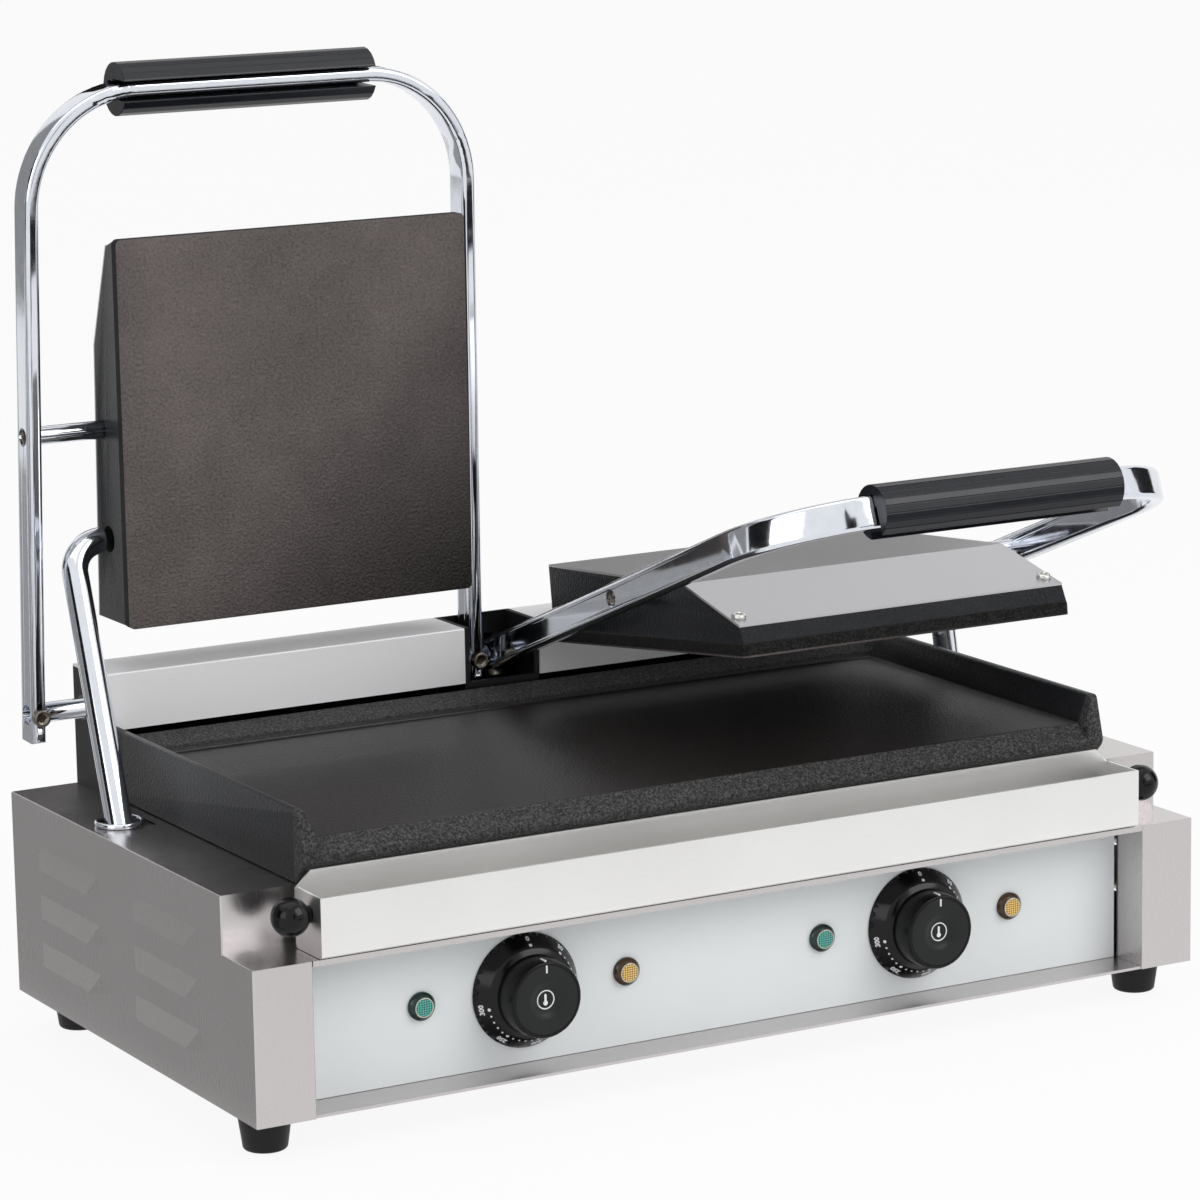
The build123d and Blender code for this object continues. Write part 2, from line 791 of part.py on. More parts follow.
def grip(offset):
    """Fluted sleeve on the top bar, with a slot towards the cooking side that shows the bar."""
    y = -arm_reach + arm_thickness / 2
    x0 = -arm_mid_x + offset - grip_length / 2
    x1 = x0 + grip_length
    sleeve = rod_x(x0, x1, y, 0, grip_diameter)
    sleeve = fillet(sleeve.edges().filter_by(GeomType.CIRCLE), 1.5)
    radius = grip_diameter / 2
    for index in range(grip_flutes):
        angle = radians(360.0 * (index + 0.5) / grip_flutes)
        outer = radius + 1.0
        inner = radius - grip_flute_depth
        spread = radians(3.5)
        groove = [
            (y + outer * cos(angle - spread), outer * sin(angle - spread)),
            (y + inner * cos(angle), inner * sin(angle)),
            (y + outer * cos(angle + spread), outer * sin(angle + spread)),
        ]
        sleeve -= prism_x(groove, x0 - 1, x1 + 1)
    gap = seat_clearance / 2
    jaw = arm_thickness / 2 + grip_slot_room
    sleeve -= block(x0 - 1, x1 + 1, y - arm_thickness / 2 - gap, y + jaw, -radius - 1, arm_depth / 2 + gap)
    sleeve -= block(x0 - 1, x1 + 1, y - jaw, y + jaw, -radius - 1, 2.0)
    return sleeve


def cover_seat_points():
    """Open line of (y, z) points that the cover lies on, from its front edge to the back."""
    z0 = -pivot_height
    half = plate_depth / 2
    return [
        (-half + plate_nose_back, z0 + plate_nose),
        (-half + plate_slope, z0 + plate_kink - lid_sheet),
        (half - plate_draft, z0 + plate_height - lid_sheet),
    ]


def plate_prism(x0, x1):
    """Side outline of the upper casting, drawn out across the object."""
    z0 = -pivot_height
    half = plate_depth / 2
    outline = [(-half + plate_draft, z0), (-half + plate_draft, z0 + plate_band)]
    outline += cover_seat_points()
    outline.append((half - plate_draft, z0))
    return prism_x(outline, x0, x1)


def upper_casting():
    """Left upper plate: a deep iron casting, open above, with bosses for its rods and conduit."""
    z0 = -pivot_height
    half = plate_depth / 2
    x0 = -plate_outer_x
    x1 = -plate_inner_x
    wall = plate_wall
    body = plate_prism(x0 + plate_draft, x1 - plate_draft)
    band = block(x0, x1, -half, half, z0, z0 + plate_band)
    shell = body + fillet(band.edges().filter_by(Axis.Z), 3.0)
    shell -= block(x0 + wall, x1 - wall, -half + plate_front_wall, half - wall - plate_draft,
                   z0 + plate_floor, z0 + plate_height)
    for face, way in ((x0, 1), (x1, -1)):
        inner = face + way * (wall - 1)
        end = face + way * (wall + boss_length)
        shell += rod_x(inner, end, 0, 0, boss_diameter) & plate_prism(x0, x1)
        shell -= rod_x(face - way, end + way, 0, 0, pivot_diameter + 2 * running_clearance)
    seat_y = conduit_seat_back
    seat_z = -conduit_seat_drop
    shell += rod_x(x0 + wall - 1, x0 + wall + boss_length, seat_y, seat_z, boss_diameter)
    shell -= rod_x(x0 - 1, x0 + wall + boss_length + 1, seat_y, seat_z,
                   conduit_diameter + 2 * running_clearance)
    for y, z, direction, x in cover_screw_places():
        shank = Pos(x, y, z) * Rot(direction, 0, 0) * Cylinder(
            cover_screw_diameter / 2, 14.0, align=(Align.CENTER, Align.CENTER, Align.MAX))
        shell -= shank
    return shell


def cover_screw_places():
    """Seat of each cover screw on the slope: y, z, turn about x, x."""
    (y0, z0), (y1, z1), _ = cover_seat_points()
    angle = atan2(z1 - z0, y1 - y0)
    up = 10.0
    y = y0 + up * cos(angle)
    z = z0 + up * sin(angle)
    return [(y, z, degrees(angle), x) for x in (-plate_outer_x + 6.5, -plate_inner_x - 6.5)]


def upper_cover():
    """Stainless cover of the left upper plate: a front slope and a top that rises to the back."""
    t = lid_sheet
    (y0, z0), (y1, z1), (y2, z2) = cover_seat_points()
    slope = atan2(z1 - z0, y1 - y0)
    rise = atan2(z2 - z1, y2 - y1)
    middle = (slope + rise) / 2
    mitre = t / cos((slope - rise) / 2)
    outline = [
        (y0, z0),
        (y1, z1),
        (y2, z2),
        (y2, z2 + t),
        (y1 - mitre * sin(middle), z1 + mitre * cos(middle)),
        (y0 - t * sin(slope), z0 + t * cos(slope)),
    ]
    cover = prism_x(outline, -plate_outer_x + plate_draft, -plate_inner_x - plate_draft)
    for y, z, direction, x in cover_screw_places():
        cover -= Pos(x, y, z) * Rot(direction, 0, 0) * Cylinder(cover_screw_diameter / 2 + 0.1, 8.0)
    return cover


def cover_screws():
    """Two pan-head screws at the foot of the cover's slope."""
    screws = []
    for y, z, direction, x in cover_screw_places():
        shank = Cylinder(cover_screw_diameter / 2, 14.0, align=(Align.CENTER, Align.CENTER, Align.MAX))
        shank = Pos(0, 0, lid_sheet) * shank
        head = Pos(0, 0, lid_sheet) * Cylinder(
            cover_screw_head / 2, 2.4, align=(Align.CENTER, Align.CENTER, Align.MIN))
        head = fillet(head.edges().filter_by(GeomType.CIRCLE).group_by(Axis.Z)[-1], 1.6)
        cross = Pos(0, 0, lid_sheet + 2.4) * (Box(4.4, 0.9, 1.6) + Box(0.9, 4.4, 1.6))
        screws.append(Pos(x, y, z) * Rot(direction, 0, 0) * (shank + head - cross))
    return as_group(screws)


def upper_element():
    """Heater on the floor of the left upper plate."""
    z = -pivot_height + plate_floor + element_diameter / 2
    half = plate_depth / 2
    return serpentine(-plate_mid_x, 66.0, -half + 32.0, half - 34.0, z)


def conduit(arm_angle, plate_angle):
    """Left conduit: out of the plate's cheek, round an elbow and down into its collar."""
    y, z = conduit_seat(arm_angle, plate_angle)
    distance = hypot(y - collar_y, z - deck_height)
    scale = conduit_length / distance
    corner = (-conduit_out, y, z)
    start = (-plate_outer_x + plate_wall + boss_length - 2, y, z)
    end = (
        -conduit_out - conduit_spread * conduit_length,
        y + (collar_y - y) * scale,
        z + (deck_height - z) * scale,
    )
    path = FilletPolyline(start, corner, end, radius=conduit_bend)
    return tube_along(path, conduit_diameter, conduit_diameter - 2 * conduit_wall)


def collar(arm_angle, plate_angle):
    """Loose ring on the left deck that the conduit slides through."""
    x = -collar_x(seat_distance(arm_angle, plate_angle))
    ring = rod_z(x, collar_y, deck_height, deck_height + collar_thickness, collar_outer)
    ring = fillet(ring.edges().filter_by(GeomType.CIRCLE).group_by(Axis.Z)[-1], 1.2)
    return ring - rod_z(x, collar_y, deck_height - 1, deck_height + collar_thickness + 1, collar_bore)


def dial_bezel(side):
    """Black cone on the panel that carries the temperature numbers."""
    y = panel_front
    outline = [
        (knob_shaft_diameter / 2 + 3, y),
        (dial_diameter / 2, y),
        (dial_diameter / 2, y - 1.5),
        (dial_face_diameter / 2, y - dial_height),
        (knob_shaft_diameter / 2 + 3, y - dial_height),
    ]
    return turned_y(outline, side * dial_x, dial_z)


def knob(side):
    """Turning knob with a dished face and a pointer rib."""
    y = panel_front - dial_height - knob_clearance
    face = y - knob_length
    radius = knob_diameter / 2
    face_radius = knob_face_diameter / 2
    outline = [
        (0, y),
        (radius, y),
        (radius, y - 2.0),
        (face_radius + 1.5, face + 1.2),
        (face_radius, face),
        (face_radius - 7.0, face),
        (4.0, face + knob_dish),
        (0, face + knob_dish),
    ]
    body = turned_y(outline, side * dial_x, dial_z)
    bore = rod_y(side * dial_x, y - knob_length + 5, y + 1, dial_z, knob_shaft_diameter)
    return body - bore


def knob_shaft(side):
    """Thermostat spindle that the knob is pushed on to."""
    y0 = panel_front - dial_height - knob_clearance - knob_length + 5
    return rod_y(side * dial_x, y0, panel_back + thermostat_depth * 0.6, dial_z, knob_shaft_diameter)


def thermostat(side):
    """Thermostat body behind the panel, with its neck through the panel."""
    x = side * dial_x
    half = thermostat_size / 2
    y0 = panel_back + seat_clearance
    body = block(x - half, x + half, y0, y0 + thermostat_depth, dial_z - half, dial_z + half)
    body = fillet(body.edges().filter_by(Axis.Y), 4.0)
    for dx in (-12.0, 12.0):
        body += block(x + dx - 3, x + dx + 3, y0 + thermostat_depth, y0 + thermostat_depth + 8,
                      dial_z - 0.4, dial_z + 0.4)
    body += rod_y(x, panel_front + 0.1, y0 + 1, dial_z, knob_shaft_diameter + 3.6)
    bore = knob_shaft_diameter + 2 * running_clearance
    return body - rod_y(x, panel_front - 1, panel_back + thermostat_depth * 0.6 + 0.5, dial_z, bore)


def lamp_housings():
    """Four lamp bodies, each with a thin bezel on the panel."""
    housings = []
    for x in (-lamp_outer_x, -lamp_inner_x, lamp_inner_x, lamp_outer_x):
        rim = rod_y(x, panel_front - 1.6, panel_front, lamp_z, lamp_diameter)
        tube = rod_y(x, panel_front - 0.1, panel_back + lamp_length, lamp_z, lamp_hole)
        seat = rod_y(x, panel_front - 3, panel_front + 2, lamp_z, lamp_hole - 1.0)
        pins = block(x - 4, x - 2.8, panel_back + lamp_length, panel_back + lamp_length + 7,
                     lamp_z - 2, lamp_z + 2)
        pins += block(x + 2.8, x + 4, panel_back + lamp_length, panel_back + lamp_length + 7,
                      lamp_z - 2, lamp_z + 2)
        housings.append(rim + tube - seat + pins)
    return as_group(housings)


def lamp_lens(x):
    """Coloured lens standing a little proud of its bezel."""
    outline = [
        (0, panel_front + 2),
        (lamp_hole / 2 - 0.5, panel_front + 2),
        (lamp_hole / 2 - 0.5, panel_front - 3.6),
        (lamp_hole / 2 - 1.2, panel_front - 4.3),
        (0, panel_front - 4.8),
    ]
    return turned_y(outline, x, lamp_z)


def terminal_block():
    """Mains terminal block on the pan, by the gland."""
    x = gland_x + 55
    y1 = body_depth - 40
    base = block(x - 24, x + 24, y1 - 22, y1, pan_top, pan_top + 8)
    for index in range(3):
        cx = x - 14 + 14 * index
        base += block(cx - 5, cx + 5, y1 - 20, y1 - 2, pan_top + 7, pan_top + 19)
        base -= rod_z(cx, y1 - 15, pan_top + 12, pan_top + 20, 4.0)
        base -= rod_z(cx, y1 - 7, pan_top + 12, pan_top + 20, 4.0)
        base -= rod_y(cx, y1 - 25, y1 + 3, pan_top + 12, 3.0)
    return base


def cable_gland():
    """Gland in the rear panel, where the mains lead would go in."""
    y0 = body_depth - side_sheet
    inner = y0 - rear_sheet
    body = rod_y(gland_x, inner - 9, y0 + 4, gland_z, gland_diameter)
    nose = rod_y(gland_x, y0 + 4, y0 + 14, gland_z, gland_diameter - 3)
    flats = Rot(90, 0, 0) * extrude(RegularPolygon(gland_flange / 2, 6), amount=5)
    hexagon = Pos(gland_x, y0 + 5, gland_z) * flats
    nut = Pos(gland_x, inner, gland_z) * flats
    return body + nose + hexagon + nut - rod_y(gland_x, inner - 20, y0 + 20, gland_z, gland_bore)


def feet():
    """Four tapered rubber feet with a screw well from below."""
    group = []
    for x, y in foot_centres():
        cone = Pos(x, y, foot_height / 2) * Cone(foot_bottom_diameter / 2, foot_top_diameter / 2, foot_height)
        cone = fillet(cone.edges().filter_by(GeomType.CIRCLE).group_by(Axis.Z)[0], 2.0)
        cone -= rod_z(x, y, -1, foot_height / 2, foot_screw_head + 2)
        cone -= rod_z(x, y, 0, foot_height + 1, foot_screw_diameter)
        group.append(cone)
    return as_group(group)


def foot_screws():
    """A pan-head screw and nut through each foot and the pan."""
    group = []
    for x, y in foot_centres():
        seat = foot_height / 2
        screw = rod_z(x, y, seat - 2.6, seat, foot_screw_head)
        screw += rod_z(x, y, seat, pan_top + 5, foot_screw_diameter)
        screw += Pos(x, y, pan_top) * extrude(RegularPolygon(4.0, 6), amount=3.2)
        group.append(screw)
    return as_group(group)


def housing_screws():
    """Pan-head screws through the rear flanges of the side covers into the rear panel."""
    group = []
    y = body_depth
    inner = body_depth - side_sheet - rear_sheet
    for side in (-1, 1):
        x = side * (half_width - flange_width / 2 - 0.6)
        for z in (foot_height + 28, deck_height - 18):
            screw = rod_y(x, y, y + 2.2, z, 7.0)
            screw = fillet(screw.edges().filter_by(GeomType.CIRCLE).group_by(Axis.Y)[-1], 1.4)
            screw += rod_y(x, inner - 3, y, z, 3.5)
            group.append(screw)
    return group


def with_screw_holes(shape):
    """Cuts the rear screws' holes in a sheet that they pass through."""
    for side in (-1, 1):
        x = side * (half_width - flange_width / 2 - 0.6)
        for z in (foot_height + 28, deck_height - 18):
            shape -= rod_y(x, body_depth - 8, body_depth + 8, z, 3.5)
    return shape


left_pose = (left_arm_angle, left_plate_angle)
right_pose = (right_arm_angle, right_plate_angle)

parts = {
    "base_pan": base_pan(),
    "left_side_cover": with_screw_holes(left_side_cover()),
    "right_side_cover": with_screw_holes(mirrored(left_side_cover())),
    "front_ledge": front_ledge(),
    "control_panel": control_panel(),
    "rear_panel": with_screw_holes(rear_panel()),
    "lower_casting": lower_casting(),
    "left_lower_element": lower_element(-1),
    "right_lower_element": lower_element(1),
    "element_clamps": element_clamps(),
    "heat_shield": heat_shield(),
    "drip_tray": drip_tray(),
    "tray_knobs": tray_knobs(),
    "rear_box": rear_box(),
    "left_rear_cover": left_rear_cover(),
    "right_rear_cover": mirrored(left_rear_cover()),
    "hinge_bracket": hinge_bracket(),
    "shaft_bushes": shaft_bushes(),
    "left_counter_spring": counter_spring(-1),
    "right_counter_spring": counter_spring(1),
    "terminal_block": terminal_block(),
    "cable_gland": cable_gland(),
    "feet": feet(),
    "foot_screws": foot_screws(),
    "housing_screws": as_group(housing_screws()),
    "lamp_housings": lamp_housings(),
    "left_green_lens": lamp_lens(-lamp_outer_x),
    "left_amber_lens": lamp_lens(-lamp_inner_x),
    "right_green_lens": lamp_lens(lamp_inner_x),
    "right_amber_lens": lamp_lens(lamp_outer_x),
}

for name, side in (("left", -1), ("right", 1)):
    parts[name + "_dial_bezel"] = dial_bezel(side)
    parts[name + "_knob"] = knob(side)
    parts[name + "_knob_shaft"] = knob_shaft(side)
    parts[name + "_thermostat"] = thermostat(side)

arm_pieces = {
    "handle": handle(),
    "lid_shaft": lid_shaft(),
    "pivot_rods": pivot_rods(),
    "handle_screws": handle_screws(),
}
plate_pieces = {
    "upper_casting": upper_casting(),
    "upper_element": upper_element(),
    "upper_cover": upper_cover(),
    "cover_screws": cover_screws(),
}
for name, (arm_angle, plate_angle), grip_offset in (
    ("left", left_pose, left_grip_offset),
    ("right", right_pose, right_grip_offset),
):
    hand = (lambda shape: shape) if name == "left" else mirrored
    parts[name + "_grip"] = lid_frame(hand(grip(grip_offset)), arm_angle)
    for piece, shape in arm_pieces.items():
        parts[name + "_" + piece] = lid_frame(hand(shape), arm_angle)
    for piece, shape in plate_pieces.items():
        parts[name + "_" + piece] = plate_frame(hand(shape), arm_angle, plate_angle)
    parts[name + "_conduit"] = hand(conduit(arm_angle, plate_angle))
    parts[name + "_collar"] = hand(collar(arm_angle, plate_angle))

# The origin moves to the middle of the whole object's box, on the table
whole = Compound([solid for shape in parts.values() for solid in shape.solids()]).bounding_box()
shift = Pos(-(whole.min.X + whole.max.X) / 2, -(whole.min.Y + whole.max.Y) / 2, -whole.min.Z)

os.makedirs("parts", exist_ok=True)
for node, shape in parts.items():
    moved = shift * shape
    solids = moved.solids()
    export_step(solids[0] if len(solids) == 1 else Compound(solids), "parts/" + node + ".step")

for label, value in (
    ("shift y", -(whole.min.Y + whole.max.Y) / 2),
    ("closed arm angle", closed_arm_angle),
    ("open conduit distance", open_distance),
    ("closed conduit distance", closed_distance),
    ("box", tuple(whole.size)),
):
    print(label, value)
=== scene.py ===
import json
import logging
import math
from collections.abc import Iterable, Sequence
from dataclasses import dataclass
from enum import Enum

import bpy
from mathutils import Matrix, Vector

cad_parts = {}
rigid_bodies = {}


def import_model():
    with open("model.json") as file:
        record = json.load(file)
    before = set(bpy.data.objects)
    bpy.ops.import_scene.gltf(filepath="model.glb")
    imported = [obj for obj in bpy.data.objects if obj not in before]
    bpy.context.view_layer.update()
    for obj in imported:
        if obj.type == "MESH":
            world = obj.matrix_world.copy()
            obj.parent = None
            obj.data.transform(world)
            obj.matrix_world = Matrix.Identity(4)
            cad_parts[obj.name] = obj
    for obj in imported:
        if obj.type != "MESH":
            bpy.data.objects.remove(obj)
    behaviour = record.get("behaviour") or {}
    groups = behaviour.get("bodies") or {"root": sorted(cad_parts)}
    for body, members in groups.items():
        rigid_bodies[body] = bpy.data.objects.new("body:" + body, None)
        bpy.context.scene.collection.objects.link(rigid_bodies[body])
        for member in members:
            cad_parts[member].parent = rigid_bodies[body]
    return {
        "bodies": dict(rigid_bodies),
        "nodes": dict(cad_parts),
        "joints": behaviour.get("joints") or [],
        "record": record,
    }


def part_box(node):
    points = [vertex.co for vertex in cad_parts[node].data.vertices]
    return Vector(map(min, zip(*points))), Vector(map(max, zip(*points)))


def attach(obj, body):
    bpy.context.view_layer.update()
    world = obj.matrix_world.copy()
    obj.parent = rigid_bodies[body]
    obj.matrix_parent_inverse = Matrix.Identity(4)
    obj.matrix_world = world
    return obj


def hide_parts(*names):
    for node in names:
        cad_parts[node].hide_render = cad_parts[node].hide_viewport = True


LOG = logging.getLogger("contact_grill")
MM = 0.001
# Corners nearer than this are one corner, in metres.
MERGE_GAP = 0.000002
# Height of a numeral as a share of the type size.
CAPITAL_SHARE = 0.7
# Lays a piece's own z towards the front of the grill.
FACE_FRONT = Matrix.Rotation(math.radians(90.0), 4, "X")

Point = tuple[float, float, float]
Colour = tuple[float, float, float]
Profile = Sequence[tuple[float, float]]
Socket = bpy.types.NodeSocket


class Side(Enum):
    """The two halves of the grill, by the sign of their x."""

    LEFT = -1
    RIGHT = 1

    @property
    def word(self) -> str:
        """The word that starts this half's piece names."""
        return self.name.lower()


class Grain(Enum):
    """The direction in which a sheet was brushed, as factors that draw a pattern out."""

    ACROSS = (0.02, 1.0, 1.0)
    DEEP = (1.0, 0.02, 1.0)
    UPRIGHT = (1.0, 1.0, 0.02)


class Coat(Enum):
    """The kinds of skin on the iron castings, with one of painted shade."""

    ROUGH = "rough"
    SMOOTH = "smooth"
    # Painted shade: a darker skin that stands in for light falling off across a cooking face.
    BURNT = "burnt"


class Mix(Enum):
    """What a mixing node mixes, with the numbers of its two inputs and its output."""

    FLOAT = (2, 3, 0)
    RGBA = (6, 7, 2)


@dataclass
class Workshop:
    """The loaded frame, with what every sub-assembly needs from it."""

    frame: dict
    front: float

    @classmethod
    def opened(cls) -> "Workshop":
        """Loads the frame and finds the front of the housing's side boxes."""
        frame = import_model()
        return cls(frame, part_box("left_side_cover")[0][1])

    def point(self, x: float, y: float, z: float) -> Vector:
        """Turns housing millimetres into a point of the shared frame, in metres.

        Args:
            x: Distance to the right of the middle.
            y: Distance behind the front of the side boxes.
            z: Height above the table.

        Returns:
            The same point in metres, measured from the shared frame's origin.
        """
        return Vector((x * MM, y * MM + self.front, z * MM))

    def body_of(self, node: str) -> str:
        """Finds the body that a CAD node moves with."""
        bodies = self.frame["record"]["behaviour"]["bodies"]
        return next(body for body, nodes in bodies.items() if node in nodes)

    def slot_of(self, node: str) -> str:
        """Finds the record's material slot of a CAD node."""
        rows = self.frame["record"]["subparts"]
        return next(row["material_slot"] for row in rows if row["node"] == node)

    def dress(self, names: Iterable[str], material: bpy.types.Material) -> None:
        """Gives CAD nodes a material in all their slots.

        Args:
            names: The nodes' names.
            material: The material that they take.
        """
        for name in names:
            data = self.frame["nodes"][name].data
            if not data.materials:
                data.materials.append(material)
            for index in range(len(data.materials)):
                data.materials[index] = material
            LOG.info("dressed %s in %s", name, material.name)

    def hand_in(self, piece: bpy.types.Object, like: str, material: bpy.types.Material,
                stands_in: bool = True) -> None:
        """Gives a new piece its finish and body as a CAD node has them, and looks up that node's slot.

        Args:
            piece: The finished piece.
            like: The CAD node that it belongs to.
            material: The material that it takes.
            stands_in: Whether it is shown in place of that node.
        """
        piece.data.materials.clear()
        piece.data.materials.append(material)
        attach(piece, self.body_of(like))
        self.slot_of(like)
        if stands_in:
            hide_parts(like)
        LOG.info("made %s on %s", piece.name, self.body_of(like))

    def softened(self, node: str, material: bpy.types.Material, bevel: float = 0.0,
                 angle: float = 32.0) -> None:
        """Shows a CAD node as a merged copy with smooth curves and softened edges.

        Args:
            node: The CAD node.
            material: The material that the copy takes.
            bevel: Width of the bevel on its sharp edges, in millimetres.
            angle: Edges sharper than this stay crisp, in degrees.
        """
        bpy.ops.object.select_all(action="DESELECT")
        data = self.frame["nodes"][node].data.copy()
        piece = bpy.data.objects.new(node + "_skin", data)
        bpy.context.scene.collection.objects.link(piece)
        piece.select_set(True)
        bpy.context.view_layer.objects.active = piece
        bpy.ops.object.mode_set(mode="EDIT")
        bpy.ops.mesh.select_all(action="SELECT")
        bpy.ops.mesh.remove_doubles(threshold=MERGE_GAP)
        if bevel:
            bpy.ops.mesh.dissolve_limited(angle_limit=math.radians(0.4))
        bpy.ops.object.mode_set(mode="OBJECT")
        if bevel:
            soften = piece.modifiers.new("soften", "BEVEL")
            soften.width = bevel * MM
            soften.segments = 2
            soften.limit_method = "ANGLE"
            soften.angle_limit = math.radians(angle)
            soften.use_clamp_overlap = True
            bpy.ops.object.modifier_apply(modifier=soften.name)
        bpy.ops.object.shade_smooth_by_angle(angle=math.radians(angle))
        self.hand_in(piece, node, material)


def settle(piece: bpy.types.Object, place: Matrix) -> bpy.types.Object:
    """Moves a piece's mesh to its place and leaves its object at the origin.

    Args:
        piece: The piece, built round the origin.
        place: Where the piece goes.

    Returns:
        The same piece.
    """
    piece.data.transform(place @ piece.matrix_basis)
    piece.matrix_basis = Matrix.Identity(4)
    piece.data.update()
    return piece


def turned(name: str, profile: Profile, place: Matrix, sides: int,
           crease: float = 28.0) -> bpy.types.Object:
    """Turns a closed piece from a list of rings.

    Args:
        name: The piece's name.
        profile: Radius and height of each ring in millimetres, from the foot up.
        place: Where the foot's middle goes, with the piece's axis as its z.
        sides: How many sides the rings have.
        crease: Edges sharper than this stay crisp, in degrees.

    Returns:
        The piece, smooth where its rings run on gently.
    """
    bpy.ops.object.select_all(action="DESELECT")
    radius, height = profile[0]
    bpy.ops.mesh.primitive_circle_add(
        vertices=sides, radius=radius * MM, fill_type="NGON", location=(0, 0, height * MM))
    piece = bpy.context.active_object
    piece.name = name
    bpy.ops.object.mode_set(mode="EDIT")
    for next_radius, next_height in profile[1:]:
        rise = (next_height - height) * MM
        bpy.ops.mesh.extrude_region_move(TRANSFORM_OT_translate={"value": (0, 0, rise)})
        factor = next_radius / radius
        bpy.ops.transform.resize(value=(factor, factor, 1.0))
        radius, height = next_radius, next_height
    bpy.ops.mesh.select_all(action="SELECT")
    bpy.ops.mesh.remove_doubles(threshold=MERGE_GAP)
    bpy.ops.mesh.normals_make_consistent(inside=False)
    bpy.ops.object.mode_set(mode="OBJECT")
    bpy.ops.object.shade_smooth_by_angle(angle=math.radians(crease))
    return settle(piece, place)


def joined(name: str, pieces: Sequence[bpy.types.Object]) -> bpy.types.Object:
    """Joins pieces into one and names it.

    Args:
        name: The name of the joined piece.
        pieces: The pieces, of which the first takes in the others.

    Returns:
        The joined piece.
    """
    bpy.ops.object.select_all(action="DESELECT")
    for piece in pieces:
        piece.select_set(True)
    bpy.context.view_layer.objects.active = pieces[0]
    bpy.ops.object.join()
    pieces[0].name = name
    return pieces[0]


